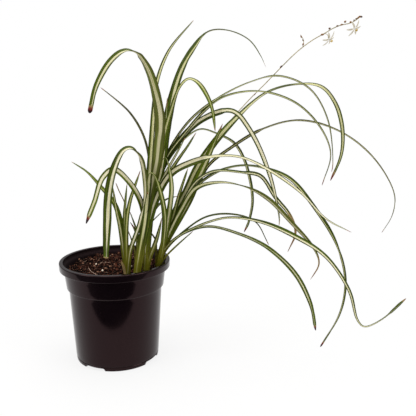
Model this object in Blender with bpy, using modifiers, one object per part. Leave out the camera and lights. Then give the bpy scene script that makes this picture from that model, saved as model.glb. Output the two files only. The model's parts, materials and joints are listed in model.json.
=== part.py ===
"""A variegated spider plant in a round nursery pot: pot, potting mix, leaves, flower stalk and flowers.

Lengths in this file are in centimetres and are turned into metres when a mesh or a curve is made.
The origin is on the floor under the middle of the pot, and the plant is seen from the front along +Y.
"""

import math

import bmesh
import bpy
import numpy as np

CM = 0.01
GAP = 0.03

# The pot
POT_HEIGHT = 12.0
LIP_RADIUS = 6.5
LIP_HEIGHT = 0.85
COLLAR_TOP_RADIUS = 5.97
COLLAR_FOOT_RADIUS = 5.72
COLLAR_FOOT_HEIGHT = 8.9
BODY_TOP_RADIUS = 5.47
BODY_FOOT_RADIUS = 4.95
WALL = 0.15
FLOOR_TOP = 0.6
FLOOR_UNDERSIDE = 0.42
PAD_RADIUS = 1.4
ROUND_STEPS = 48
NOTCH_ANGLES = (-115.0, -25.0, 65.0, 155.0)
NOTCH_SIZE = (1.6, 2.67, 0.66)
DRAIN_RADIUS = 0.4
DRAIN_CIRCLE = 3.4

# The potting mix
SOIL_TOP = 11.0
LEAF_FOOT = SOIL_TOP + GAP

# The leaves are drawn in perspective on an upright board that stands across the pot's middle.
# STATION is the point they are drawn from, and a leaf's depth slides each of its points
# along the line from there: below 0 is in front of the board and above 0 is behind it.
STATION = np.array([11.2, -66.0, 31.9])
BOARD_SLIDE = -0.11

# A leaf's section is a shallow V with sharp edges, thickest along the midrib.
LEAF_THICKNESS = 0.075
FLAT_FOOT_LENGTH = 7.0
FOLD_LENGTH = 9.0
FOOT_FOLD = 5.0
FULL_FOLD = 24.0
SECTION_SPACING = 1.2
BEND_SPACING = 2.2
TWIST_SHARE = 1.4

# The flower stalk and the flowers
STALK_RADIUS = 0.055
PEDICEL_RADIUS = 0.04
TEPAL_LENGTH = 0.9
TEPAL_WIDTH = 0.26
TEPAL_START = 0.17
TEPAL_RISE = 0.02

# colour, roughness and metallic value of each finish
FINISHES = {
    "pot_plastic": ((0.012, 0.011, 0.011), 0.38, 0.0),
    "peat": ((0.045, 0.018, 0.010), 0.95, 0.0),
    "leaf_green": ((0.10, 0.19, 0.03), 0.45, 0.0),
    "leaf_cream": ((0.55, 0.55, 0.24), 0.50, 0.0),
    "leaf_dry": ((0.20, 0.12, 0.05), 0.70, 0.0),
    "stalk": ((0.52, 0.42, 0.22), 0.55, 0.0),
    "petal": ((0.80, 0.78, 0.68), 0.55, 0.0),
    "stamen": ((0.75, 0.48, 0.05), 0.60, 0.0),
}


def clearScene():
    for obj in list(bpy.data.objects):
        bpy.data.objects.remove(obj)


def newCollection(name):
    collection = bpy.data.collections.new(name)
    bpy.context.scene.collection.children.link(collection)
    return collection


def finishFor(name, finish):
    colour, roughness, metallic = FINISHES[finish]
    material = bpy.data.materials.new(name + "_finish")
    material.use_nodes = True
    shader = material.node_tree.nodes["Principled BSDF"]
    shader.inputs["Base Color"].default_value = (*colour, 1.0)
    shader.inputs["Roughness"].default_value = roughness
    shader.inputs["Metallic"].default_value = metallic
    return material


def addPiece(name, data, finish, collection):
    piece = bpy.data.objects.new(name, data)
    data.materials.append(finishFor(name, finish))
    collection.objects.link(piece)
    return piece


def addCutter(name, data, collection):
    cutter = bpy.data.objects.new(name, data)
    cutter.hide_render = True
    cutter.display_type = "WIRE"
    collection.objects.link(cutter)
    return cutter


def boolean(piece, other, operation):
    modifier = piece.modifiers.new(other.name, "BOOLEAN")
    modifier.operation = operation
    modifier.object = other
    modifier.solver = "EXACT"


def turnedShape(name, profile, finish, collection):
    """A profile of (radius, height) points, from the axis inside to the axis below, turned about Z."""
    mesh = bpy.data.meshes.new(name)
    points = [(radius * CM, 0.0, height * CM) for radius, height in profile]
    edges = [(i, i + 1) for i in range(len(points) - 1)]
    mesh.from_pydata(points, edges, [])
    piece = addPiece(name, mesh, finish, collection)
    screw = piece.modifiers.new("turn", "SCREW")
    screw.steps = ROUND_STEPS
    screw.render_steps = ROUND_STEPS
    screw.use_merge_vertices = True
    screw.merge_threshold = 0.00001
    screw.use_smooth_shade = True
    return piece


def potProfile():
    """Floor, inner wall, rolled lip, collar, tapering body, foot ring, underside and centre pad."""
    body_foot = 0.56
    lip_foot = POT_HEIGHT - LIP_HEIGHT
    inside = [
        (0.0, FLOOR_TOP),
        (BODY_FOOT_RADIUS - 0.42, FLOOR_TOP),
        (BODY_FOOT_RADIUS - WALL, FLOOR_TOP + 0.25),
        (BODY_TOP_RADIUS - WALL, COLLAR_FOOT_HEIGHT - 0.1),
        (COLLAR_FOOT_RADIUS - WALL, COLLAR_FOOT_HEIGHT + 0.2),
        (COLLAR_TOP_RADIUS - WALL, lip_foot + 0.1),
        (COLLAR_TOP_RADIUS + 0.05, lip_foot + 0.45),
    ]
    lip = [
        (LIP_RADIUS - 0.47, POT_HEIGHT - 0.06),
        (LIP_RADIUS - 0.38, POT_HEIGHT),
        (LIP_RADIUS - 0.14, POT_HEIGHT),
        (LIP_RADIUS - 0.04, POT_HEIGHT - 0.06),
        (LIP_RADIUS, POT_HEIGHT - 0.2),
        (LIP_RADIUS - 0.03, lip_foot + 0.14),
        (LIP_RADIUS - 0.1, lip_foot + 0.03),
        (LIP_RADIUS - 0.2, lip_foot),
    ]
    outside = [
        (COLLAR_TOP_RADIUS + 0.04, lip_foot),
        (COLLAR_TOP_RADIUS, lip_foot - 0.08),
        (COLLAR_FOOT_RADIUS, COLLAR_FOOT_HEIGHT + 0.08),
        (COLLAR_FOOT_RADIUS - 0.07, COLLAR_FOOT_HEIGHT),
        (BODY_TOP_RADIUS, COLLAR_FOOT_HEIGHT - 0.06),
        (BODY_FOOT_RADIUS + 0.02, body_foot),
        (BODY_FOOT_RADIUS - 0.05, body_foot - 0.04),
        (BODY_FOOT_RADIUS - 0.05, body_foot - 0.1),
        (BODY_FOOT_RADIUS - 0.01, body_foot - 0.14),
        (BODY_FOOT_RADIUS - 0.03, 0.12),
        (BODY_FOOT_RADIUS - 0.12, 0.02),
        (BODY_FOOT_RADIUS - 0.2, 0.0),
    ]
    underside = [
        (BODY_FOOT_RADIUS - 0.33, 0.0),
        (BODY_FOOT_RADIUS - 0.37, FLOOR_UNDERSIDE),
        (PAD_RADIUS + 0.08, FLOOR_UNDERSIDE),
        (PAD_RADIUS, 0.04),
        (PAD_RADIUS - 0.04, 0.0),
        (0.0, 0.0),
    ]
    return inside + lip + outside + underside


def makePot(parts, cutters):
    """The turned pot, with four notches in its foot ring and four drain holes in its floor."""
    pot = turnedShape("pot", potProfile(), "pot_plastic", parts)
    for number, angle in enumerate(NOTCH_ANGLES, 1):
        turn = math.radians(angle)
        notch = bpy.data.meshes.new("notch")
        shape = bmesh.new()
        bmesh.ops.create_cube(shape, size=1.0)
        bmesh.ops.scale(shape, vec=[side * CM for side in NOTCH_SIZE], verts=shape.verts)
        shape.to_mesh(notch)
        shape.free()
        cutter = addCutter(f"notch_{number}", notch, cutters)
        reach = BODY_FOOT_RADIUS * CM
        cutter.location = (reach * math.cos(turn), reach * math.sin(turn), 0.0)
        cutter.rotation_euler = (0.0, 0.0, turn)
        boolean(pot, cutter, "DIFFERENCE")
    for number in range(4):
        turn = math.radians(12.0 + 90.0 * number)
        drain = bpy.data.meshes.new("drain")
        shape = bmesh.new()
        bmesh.ops.create_cone(
            shape, cap_ends=True, segments=16, depth=2.0 * CM,
            radius1=DRAIN_RADIUS * CM, radius2=DRAIN_RADIUS * CM,
        )
        shape.to_mesh(drain)
        shape.free()
        cutter = addCutter(f"drain_{number}", drain, cutters)
        reach = DRAIN_CIRCLE * CM
        cutter.location = (reach * math.cos(turn), reach * math.sin(turn), FLOOR_TOP * CM)
        boolean(pot, cutter, "DIFFERENCE")
    return pot


def makeSoil(parts):
    """Potting mix that fills the pot to 1 cm below its lip, a gap away from the wall."""
    clear = WALL + GAP + 0.01
    profile = [
        (0.0, SOIL_TOP),
        (4.9, SOIL_TOP),
        (5.35, SOIL_TOP - 0.12),
        (COLLAR_TOP_RADIUS - clear - 0.06, SOIL_TOP - 0.35),
        (COLLAR_FOOT_RADIUS - clear, COLLAR_FOOT_HEIGHT + 0.18),
        (BODY_TOP_RADIUS - clear, COLLAR_FOOT_HEIGHT - 0.12),
        (BODY_FOOT_RADIUS - clear, FLOOR_TOP + 0.3),
        (BODY_FOOT_RADIUS - 0.45, FLOOR_TOP + GAP),
        (0.0, FLOOR_TOP + GAP),
    ]
    return turnedShape("soil", profile, "peat", parts)


def smoothRoute(points, steps=16):
    """A centripetal Catmull-Rom curve through the points."""
    points = np.asarray(points, float)
    first = 2.0 * points[0] - points[1]
    last = 2.0 * points[-1] - points[-2]
    padded = np.vstack([first, points, last])
    curve = []
    for p0, p1, p2, p3 in zip(padded, padded[1:], padded[2:], padded[3:]):
        t1 = np.sqrt(np.linalg.norm(p1 - p0))
        t2 = t1 + np.sqrt(np.linalg.norm(p2 - p1))
        t3 = t2 + np.sqrt(np.linalg.norm(p3 - p2))
        t = np.linspace(t1, t2, steps, endpoint=False)[:, None]
        a1 = (t1 - t) / t1 * p0 + t / t1 * p1
        a2 = (t2 - t) / (t2 - t1) * p1 + (t - t1) / (t2 - t1) * p2
        a3 = (t3 - t) / (t3 - t2) * p2 + (t - t2) / (t3 - t2) * p3
        b1 = (t2 - t) / t2 * a1 + t / t2 * a2
        b2 = (t3 - t) / (t3 - t1) * a2 + (t - t1) / (t3 - t1) * a3
        curve.append((t2 - t) / (t2 - t1) * b1 + (t - t1) / (t2 - t1) * b2)
    return np.vstack(curve + [points[-1:]])


def arcLengths(points):
    steps = np.linalg.norm(np.diff(points, axis=0), axis=1)
    return np.concatenate([[0.0], np.cumsum(steps)])


def smoothValues(values, fractions):
    """Values at equal stations along a leaf, read smoothly at the fractions of its length."""
    stations = np.linspace(0.0, 1.0, len(values))
    route = smoothRoute(np.stack([stations, np.asarray(values, float)], axis=1))
    return np.interp(fractions, route[:, 0], route[:, 1])


def unit(vectors):
    return vectors / np.linalg.norm(vectors, axis=-1, keepdims=True)


def offTheBoard(board, depth):
    """Points (across, up) of the board, moved along the lines from STATION to their depths."""
    flat = np.stack([board[:, 0] + BOARD_SLIDE, np.zeros(len(board)), board[:, 1]], axis=1)
    return STATION + (flat - STATION) * (1.0 + depth / -STATION[1])[:, None]


def leafLine(route, depth):
    """A leaf's midrib in space, its foot brought down to the soil."""
    board = smoothRoute(route)
    length = arcLengths(board)
    fraction = length / length[-1]
    line = offTheBoard(board, smoothValues(depth, fraction))
    foot = np.clip(1.0 - arcLengths(line) / 2.5, 0.0, 1.0) ** 2
    line[:, 2] += (LEAF_FOOT - line[0, 2]) * foot
    return line, fraction


def sectionPlaces(line, turns):
    """Indices of the points that carry a section: closer together where the leaf bends or twists."""
    along = unit(np.gradient(line, axis=0))
    bend = np.arccos(np.clip((along[1:] * along[:-1]).sum(1), -1.0, 1.0))
    twist = np.radians(np.abs(np.diff(turns)))
    turned = np.concatenate([[0.0], np.cumsum(bend + TWIST_SHARE * twist)])
    measure = arcLengths(line) / SECTION_SPACING + turned * BEND_SPACING
    count = max(7, int(round(measure[-1])))
    wanted = np.linspace(0.0, measure[-1], count)
    return np.unique(np.searchsorted(measure, wanted).clip(0, len(line) - 1))


def pointedTube(name, rings, tip, finish, parts):
    """A closed skin over sections of four corners, edge, top, edge and underside, that ends in a point.

    Every quad is cut from its edge corner, so that the top and the underside twist alike.
    """
    shape = bmesh.new()
    sections = [[shape.verts.new(corner * CM) for corner in ring] for ring in rings]
    end = shape.verts.new(tip * CM)
    for ring, following in zip(sections, sections[1:]):
        for edge in (0, 2):
            for rib in (1, 3):
                shape.faces.new((ring[edge], ring[rib], following[rib]))
                shape.faces.new((ring[edge], following[rib], following[edge]))
    for i in range(4):
        shape.faces.new((sections[-1][i], sections[-1][(i + 1) % 4], end))
    shape.faces.new(sections[0][::-1])
    bmesh.ops.recalc_face_normals(shape, faces=shape.faces)
    mesh = bpy.data.meshes.new(name)
    shape.to_mesh(mesh)
    shape.free()
    mesh.shade_smooth()
    return addPiece(name, mesh, finish, parts)


def makeLeaf(name, route, depth, width, turn, side, finish, parts):
    """A loft of V sections along the route, from a cut foot to a pointed tip.

    width holds the blade's widths, and turn the angle in degrees between the blade's upper face and
    the line to STATION, both at equal stations. side is 1 where the leaf arches right and -1 left.
    """
    line, fraction = leafLine(route, depth)
    places = sectionPlaces(line, smoothValues(turn, fraction))
    along = unit(np.gradient(line, axis=0))[places]
    length = arcLengths(line)[places]
    line = line[places]
    fraction = fraction[places]
    across = unit(np.cross(unit(line - STATION), along))
    upper = np.cross(across, along)
    angle = -side * np.radians(smoothValues(turn, fraction))[:, None]
    edgeward = across * np.cos(angle) - upper * np.sin(angle)
    faceward = upper * np.cos(angle) + across * np.sin(angle)
    half = 0.5 * smoothValues(width, fraction)[:, None]
    fold_share = np.clip((length - FLAT_FOOT_LENGTH) / FOLD_LENGTH, 0.0, 1.0)
    fold = np.radians(FOOT_FOLD + (FULL_FOLD - FOOT_FOLD) * fold_share)[:, None]
    thick = 0.5 * LEAF_THICKNESS * np.clip(half / 0.12, 0.45, 1.0)
    rise = half * np.sin(fold)
    reach = half * np.cos(fold)
    lifted = line + faceward * rise * 0.5
    midrib = line - faceward * rise * 0.5
    rings = np.stack(
        [lifted - edgeward * reach, midrib + faceward * thick,
         lifted + edgeward * reach, midrib - faceward * thick],
        axis=1,
    )
    rings[0, :, 2] = LEAF_FOOT
    return pointedTube(name, rings[:-1], line[-1], finish, parts)


# name: route on the board, depths, widths, turns, side, finish
LEAVES = {
    # shoot A, at the front left of the clump
    "leaf_a1_blunt_arch": (
        [(1.6, 10.1), (1.95, 13), (3.1, 16.2), (3.75, 19), (3.85, 21.5), (3.36, 24.2), (2.43, 25.1),
         (1.6, 24.9), (0.45, 23), (-0.35, 20), (-0.66, 16), (-0.97, 12.05)],
        (-3.2, -4.25, -4.6, -4.8, -5.2), (0.5, 0.62, 0.7, 0.85, 0.95, 0.95, 0.6),
        (20, 45, 50, 45, 30, 20, 15), -1, "leaf_cream"),
    "leaf_a2_behind": (
        [(1.5, 10.4), (1.25, 14), (0.75, 17.3), (0.1, 19), (-1.16, 20.57), (-2.8, 22.45), (-4.5, 23.6)],
        (-2.25, -1.8, -1.0, 0.0), (0.42, 0.42, 0.4, 0.1),
        (0, 10, 40, 60), -1, "leaf_green"),
    "leaf_a3_right": (
        [(1.5, 10.2), (1.5, 13), (1.69, 17), (2.15, 19.2), (2.75, 20.9), (3.38, 22.6)],
        (-3.0, -2.8, -2.4, -2.0), (0.4, 0.42, 0.4, 0.12),
        (0, 10, 15, 20), 1, "leaf_green"),
    "leaf_a4_upright": (
        [(1.42, 10.25), (1.35, 13), (1.36, 17), (1.55, 19), (1.8, 21.05)],
        (-2.75, -2.45, -2.0), (0.34, 0.34, 0.3, 0.1),
        (0, 5, 15), 1, "leaf_green"),
    "leaf_a5_left": (
        [(1.38, 10.3), (1.1, 13), (0.79, 16), (0.46, 18), (0.1, 20.9)],
        (-2.5, -2.2, -1.6), (0.36, 0.38, 0.34, 0.1),
        (0, 5, 10), -1, "leaf_green"),
    "leaf_a6_dry": (
        [(1.5, 10.5), (1.48, 14), (1.45, 17.5), (1.4, 19), (1.1, 19.6), (0.5, 21.15)],
        (-2.0, -1.5, -1.2), (0.14, 0.12, 0.1, 0.05),
        (0, 0, 0), -1, "leaf_dry"),
    "leaf_a7_sheath": (
        [(1.3, 10.3), (1.1, 11.2), (0.92, 11.6), (0.78, 11.95)],
        (-3.4, -3.45, -3.5), (0.26, 0.26, 0.1),
        (0, 0, 0), -1, "leaf_dry"),
    # shoot B, beside it
    "leaf_b1_cream_left": (
        [(2.45, 10.3), (3.2, 14), (3.7, 16.5), (3.3, 19.05), (1.87, 21.45), (0.3, 22.7), (-1, 21.7),
         (-2, 19), (-3.15, 16.3)],
        (-3.2, -3.2, -3.5, -3.9, -4.2), (0.4, 0.46, 0.5, 0.52, 0.54, 0.4),
        (0, 30, 30, 60, 40, 30), -1, "leaf_cream"),
    "leaf_b2_slender_top": (
        [(2.5, 10.2), (3.08, 13), (3.6, 16), (3.98, 19), (4.4, 22.3), (4.8, 27), (5.1, 30), (5.6, 33),
         (6.9, 36), (9.6, 39.15)],
        (-3.62, -3.84, -2.95, -0.8, 1.2), (0.5, 0.62, 0.6, 0.5, 0.4, 0.3, 0.08),
        (0, 0, 0, 10, 20, 40), 1, "leaf_cream"),
    "leaf_b3_tall_left_arch": (
        [(2.7, 10.2), (3.4, 13.8), (4.1, 17.5), (4.75, 21.5), (5.3, 24), (5.7, 28), (5.36, 31),
         (4.48, 34), (3.16, 35.75), (1.94, 35.9), (0.41, 34.85), (-1.37, 32), (-2.2, 29.1)],
        (-3.4, -3.4, -3.8, -4.6, -5.6, -6.6), (0.5, 0.6, 0.7, 0.85, 0.9, 0.8, 0.65, 0.5, 0.25),
        (0, 10, 110, 150, 165, 130, 60, 40, 40), -1, "leaf_cream"),
    "leaf_b4_small_arch": (
        [(2.6, 10.3), (3.6, 14.5), (4.4, 19), (5.1, 21.8), (5.85, 25), (6.9, 29), (8.05, 32),
         (9.03, 32.85), (10.05, 32.45), (11.1, 31), (11.68, 29.45), (11.98, 27.1)],
        (-3.0, -2.9, -2.7, -3.4, -4.2), (0.4, 0.45, 0.5, 0.5, 0.45, 0.35, 0.1),
        (0, 0, 10, 20, 70, 40, 30), 1, "leaf_cream"),
    "leaf_b5_short_right": (
        [(2.75, 10.4), (3.9, 16), (5, 19.3), (6.2, 21.5), (7.7, 23.8), (8.85, 25.4), (9.82, 26.95)],
        (-2.0, -1.9, -1.8, -1.6), (0.36, 0.4, 0.42, 0.14),
        (0, 0, 10, 20), 1, "leaf_green"),
    "leaf_b6_short_cream": (
        [(2.8, 10.45), (4, 16), (5.2, 20), (6.3, 22.3), (7.6, 24.6), (8.6, 26.4)],
        (-1.8, -1.7, -1.5, -1.3), (0.34, 0.34, 0.34, 0.1),
        (0, 0, 10, 15), 1, "leaf_cream"),
    "leaf_b7_pale_point": (
        [(2.8, 10.4), (3.7, 15), (5, 20.5), (6.2, 26), (6.45, 29), (6.6, 30.8)],
        (-2.2, -2.2, -2.1, -2.0), (0.24, 0.22, 0.2, 0.06),
        (0, 0, 0, 0), 1, "leaf_cream"),
    "leaf_b8_dark_tip": (
        [(2.45, 10.3), (2.8, 13), (2.73, 15), (2.3, 16.1), (2.03, 16.5)],
        (-2.8, -2.75, -2.7), (0.36, 0.34, 0.08),
        (0, 0, 0), -1, "leaf_green"),
    "leaf_b9_left": (
        [(2.5, 10.4), (2.85, 13), (2.9, 14.8), (2.55, 16.2), (2.03, 17.75)],
        (-2.65, -2.55, -2.5), (0.28, 0.26, 0.06),
        (0, 0, 0), -1, "leaf_green"),
    "leaf_b10_olive": (
        [(2.4, 10.5), (2.5, 12.7), (2.15, 14.3), (1.73, 15.55)],
        (-2.5, -2.4, -2.3), (0.18, 0.16, 0.05),
        (0, 0, 0), -1, "leaf_dry"),
    # shoot C, behind them
    "leaf_c1_tall_right_arch": (
        [(3.75, 10.6), (4.1, 15), (4.6, 19), (5.8, 23.3), (6.35, 27), (7.2, 31), (8.25, 34),
         (9.6, 36.25), (11.2, 37.95), (13.3, 38.1), (15.65, 37.1), (16.95, 35.45), (17.6, 34.15)],
        (-1.6, -1.5, -1.2, -0.4, 0.8, 1.8), (0.5, 0.6, 0.72, 0.75, 0.72, 0.6, 0.4, 0.05),
        (0, 0, 0, 10, 50, 75, 60, 60), 1, "leaf_green"),
    "leaf_c2_thin_left": (
        [(3.8, 10.7), (3.85, 15), (4.2, 20), (4.42, 23.5), (3.85, 26.5), (2.4, 29.1), (0.95, 30.5),
         (-0.85, 31.95)],
        (-1.35, -1.3, -0.6, 0.8, 2.2), (0.24, 0.26, 0.26, 0.26, 0.06),
        (0, 0, 10, 30, 30), -1, "leaf_dry"),
    "leaf_c3_long_tan": (
        [(3.85, 10.7), (4, 16), (5, 21), (6.4, 24.4), (9, 28.2), (12, 30.6), (15.9, 32.55),
         (19.1, 33.2), (22.55, 31.8), (24.7, 28.4), (25.5, 23.4), (25.4, 22.4)],
        (-0.5, -0.5, 0.6, 2.0, 3.2), (0.24, 0.24, 0.26, 0.26, 0.24, 0.2, 0.05),
        (0, 0, 30, 50, 60, 40, 40), 1, "leaf_dry"),
    "leaf_c4_long_olive": (
        [(3.9, 10.75), (4.1, 16), (5.1, 21), (6.5, 24.2), (8.4, 26.7), (11, 29.6), (13.3, 31.05),
         (17.15, 31.5), (21.2, 30.15), (24.15, 27.15), (25.2, 24.4), (24.35, 20.85)],
        (-1.1, -1.0, -1.6, -2.4, -3.2), (0.26, 0.28, 0.32, 0.32, 0.28, 0.22, 0.05),
        (0, 0, 30, 50, 60, 40, 40), 1, "leaf_green"),
    "leaf_c5_wide_arch": (
        [(3.95, 10.8), (4.2, 16), (5.2, 21), (6.3, 23.8), (8.4, 26.6), (10.6, 28.45), (13.3, 29.4),
         (14.45, 29.05), (15.9, 27.2), (17.3, 24.5), (18.6, 21), (19.5, 17), (19.5, 16)],
        (-0.9, -0.9, -1.0, -1.1, -1.2), (0.3, 0.36, 0.46, 0.5, 0.52, 0.54, 0.4, 0.06),
        (0, 0, 60, 105, 85, 40, 40, 50), 1, "leaf_cream"),
    "leaf_c6_kinked_arch": (
        [(4, 10.85), (4.3, 16), (5.3, 21), (6.6, 24), (8.5, 26.2), (10.3, 27.3), (12.3, 26.75),
         (14.1, 25.75), (15.35, 23.75), (16.1, 21), (16.3, 18.7), (15.88, 16.4), (15.4, 15.28)],
        (-0.3, -0.3, 2.2, 4.8, 5.6), (0.3, 0.34, 0.36, 0.36, 0.34, 0.4, 0.46, 0.1),
        (0, 0, 30, 60, 70, 50, 60, 20), 1, "leaf_green"),
    "leaf_c7_dark_short": (
        [(3.9, 10.5), (4.2, 12), (4.95, 14), (5.35, 15.3), (5.75, 17)],
        (-2.0, -2.1, -2.2), (0.4, 0.46, 0.1),
        (0, 10, 10), 1, "leaf_green"),
    "leaf_c8_sprout": (
        [(3.85, 10.5), (4, 12), (3.8, 12.5), (3.5, 12.9)],
        (-2.7, -2.8, -2.9), (0.2, 0.16, 0.05),
        (0, 0, 0), -1, "leaf_green"),
    "leaf_c9_dead": (
        [(4.1, 10.95), (4.1, 13.5), (4.4, 14.9), (4.4, 15.7), (4.15, 17)],
        (0.15, 0.2, 0.25), (0.2, 0.16, 0.05),
        (0, 0, 0), -1, "leaf_dry"),
    "leaf_c10_dark_right": (
        [(4, 10.85), (3.9, 14.5), (4.35, 16.75), (5, 18.1), (6.3, 19.2), (7.7, 19.6)],
        (0.0, 0.05, 0.1, 0.1), (0.26, 0.3, 0.32, 0.08),
        (0, 0, 20, 40), 1, "leaf_green"),
    "leaf_c11_olive": (
        [(4.2, 11), (4.15, 14), (4.4, 16.2), (5, 16.95), (5.75, 17.7)],
        (0.3, 0.35, 0.45), (0.16, 0.16, 0.05),
        (0, 0, 10), 1, "leaf_green"),
    "leaf_c12_cream_right": (
        [(3.6, 10.6), (4.15, 15.5), (5.5, 20), (7, 22.3), (9, 23.4), (12, 24.2), (14.95, 24.1),
         (18.35, 22.5), (21.9, 20), (25, 16.85), (28.05, 15.25)],
        (-2.35, -2.7, -3.4, -4.2, -5.0), (0.4, 0.55, 0.7, 0.72, 0.66, 0.55, 0.42, 0.08),
        (0, 0, 30, 60, 70, 55, 60, 60), 1, "leaf_cream"),
    # shoot D, at the right
    "leaf_d1_cream_long_arch": (
        [(5.1, 11.4), (5.9, 14), (6.97, 17), (8.6, 20), (10, 23), (12.1, 26), (14.65, 28.8),
         (17.8, 31.4), (21.1, 32.3), (23.8, 32.0), (25.5, 30.1), (26.4, 27.3), (26.4, 24.4),
         (25.3, 21.4)],
        (0.9, 1.6, 2.8, 4.2, 5.4), (0.5, 0.75, 0.9, 0.9, 0.85, 0.75, 0.65, 0.5, 0.2),
        (0, 10, 15, 20, 60, 82, 50, 25, 30), 1, "leaf_cream"),
    "leaf_d2_green_upright": (
        [(5.15, 11.35), (6.1, 14), (7.15, 16), (8.8, 19), (10.2, 22), (11.5, 25), (12.85, 27.95)],
        (0.65, 0.8, 1.1, 1.3), (0.5, 0.7, 0.75, 0.6, 0.1),
        (0, 5, 10, 20, 20), 1, "leaf_green"),
    "leaf_d3_short": (
        [(5.1, 11.35), (6.2, 14), (7.2, 17.5), (7.9, 20), (8.87, 22.9)],
        (0.8, 1.1, 1.6), (0.38, 0.48, 0.14),
        (0, 0, 10), 1, "leaf_green"),
    "leaf_d4_long_thin": (
        [(5.05, 11.4), (6.2, 14), (8.3, 18), (9.7, 20.3), (11.2, 23.15), (13.75, 25.2), (17.3, 27.3),
         (21.45, 28.3), (25.85, 27.2), (30.1, 24.1), (32.8, 19.75), (32.7, 17.3), (31.6, 15.2)],
        (1.05, 2.2, 4.2, 7.0, 9.5), (0.3, 0.34, 0.36, 0.36, 0.34, 0.28, 0.2, 0.05),
        (0, 0, 30, 50, 60, 50, 50, 50), 1, "leaf_green"),
    "leaf_d5_dark_arch": (
        [(5.15, 11.3), (6.3, 14.2), (8, 18), (9.9, 20.8), (12.45, 22.5), (15, 23.15), (17.65, 22.85),
         (20.65, 21.6), (23.6, 18.2), (26.2, 14.1), (27.6, 9.4), (27.15, 5.2), (24.95, 0.75)],
        (0.45, 0.5, 0.4, 0.2, 0.0), (0.34, 0.4, 0.5, 0.55, 0.55, 0.5, 0.4, 0.3, 0.08),
        (0, 10, 50, 65, 40, 30, 60, 40, 40), 1, "leaf_green"),
    "leaf_d6_long_low": (
        [(5.2, 11), (5.5, 12.3), (6.15, 13.3), (7.05, 14.3), (9, 15.55), (13.05, 16.95), (17, 16.6),
         (21.1, 14.9), (25.15, 12.25), (28.1, 8.05), (29.35, 4.2), (30.2, 3.4), (32.1, 4.2),
         (35.05, 7.05)],
        (-0.9, -1.6, -2.8, -4.2, -5.4), (0.4, 0.5, 0.6, 0.75, 0.75, 0.6, 0.45, 0.3, 0.08),
        (0, 50, 65, 50, 35, 40, 30, 60, 40), 1, "leaf_cream"),
    "leaf_d7_thin_low": (
        [(5.2, 11), (5.7, 12.5), (6.3, 13.4), (8.1, 15.2), (11, 17.15), (14, 17.45), (16.7, 16.55),
         (18.35, 13.7)],
        (-0.75, -0.9, -1.3, -1.6), (0.16, 0.18, 0.18, 0.05),
        (0, 20, 30, 30), 1, "leaf_green"),
    "leaf_d8_rusty_bend": (
        [(5.15, 11.25), (6.2, 14.2), (7.9, 18), (9.8, 21.3), (11.87, 22.5), (15.05, 22.35),
         (17.2, 21.95), (18.95, 19.5), (20.8, 17.2), (21.45, 15.2), (20.6, 12.85)],
        (0.3, 0.3, 0.0, -0.6, -1.0), (0.34, 0.38, 0.42, 0.42, 0.36, 0.05),
        (0, 10, 50, 60, 30, 30), 1, "leaf_dry"),
    "leaf_d9_tan_underside": (
        [(5.15, 11.2), (6.25, 14.1), (8, 17.8), (9.8, 20.5), (12, 21.15), (15, 20.85), (18.05, 19.35),
         (20.9, 16.5), (23.85, 13.05), (24.35, 11.35), (23.4, 9.4)],
        (0.15, -0.1, -1.0, -2.2, -3.2), (0.34, 0.38, 0.42, 0.42, 0.3, 0.1),
        (0, 10, 60, 110, 130, 120), 1, "leaf_cream"),
    "leaf_d10_front_arch": (
        [(5.2, 11.1), (6.2, 13.2), (8, 14.95), (11, 15.95), (14, 15.35), (18.1, 13.4), (21.5, 10.2),
         (23.55, 6.25), (24.3, 2.9)],
        (-0.45, -0.7, -1.8, -3.2), (0.3, 0.4, 0.6, 0.7, 0.65, 0.1),
        (0, 50, 60, 45, 35, 30), 1, "leaf_green"),
    "leaf_d11_olive_short": (
        [(5.25, 11.05), (5.75, 11.85), (6.15, 12.35), (7, 13.2), (8, 14.15), (9.4, 15.4)],
        (-0.6, -0.65, -0.7), (0.16, 0.16, 0.05),
        (0, 0, 0), 1, "leaf_dry"),
    "leaf_d12_folded_tip": (
        [(5.2, 11), (5.7, 13), (6.08, 17), (5.87, 19), (5.2, 21.5), (4.8, 22.2), (4.45, 22.3),
         (4.2, 21.6), (4.15, 19.8)],
        (-1.05, -1.8, -3.6, -4.9, -5.2), (0.4, 0.44, 0.44, 0.4, 0.08),
        (0, 0, 10, 60, 130), -1, "leaf_green"),
    "leaf_d13_upright": (
        [(5.2, 11.2), (5.8, 13), (6.5, 17), (6.93, 20.6), (6.58, 23.3), (6.3, 24.05), (5.98, 23.85),
         (5.8, 22.8)],
        (-0.15, -0.6, -2.6, -4.4, -4.8), (0.4, 0.48, 0.46, 0.4, 0.08),
        (0, 0, 10, 40, 120), -1, "leaf_cream"),
    "leaf_d14_thin_left": (
        [(5, 11.2), (5, 13), (5.05, 14), (4.7, 14.85), (3.9, 15.6), (3.05, 15.9)],
        (0.0, 0.0, 0.0, 0.0), (0.16, 0.16, 0.14, 0.05),
        (0, 0, 0, 0), -1, "leaf_green"),
}

STALK_ROUTE = [
    (5.0, 11.5), (6.5, 15.2), (8.2, 19), (10.2, 23), (12.6, 26.9), (15.6, 30.4), (17.55, 32.35),
    (19.3, 34.15), (21.05, 35.85), (22.75, 37.1), (24.0, 37.78), (24.85, 38.28), (25.7, 38.62),
    (26.9, 38.9), (27.88, 39.56),
]
STALK_DEPTH = (1.3, 2.9, 4.6, 5.6, 6.0)
FLOWER_DEPTH = 5.5
SIDE_SHOOT = [(21.85, 36.45), (21.7, 37.0), (21.35, 37.6)]
# flower: where its pedicel leaves the stalk, its centre, and which way it faces
FLOWERS = {
    "flower_1": ((24.0, 37.78), (24.48, 37.17), (0.62, -0.55, -0.56)),
    "flower_2": ((26.9, 38.9), (27.2, 38.28), (0.48, -0.74, -0.48)),
}


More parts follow.
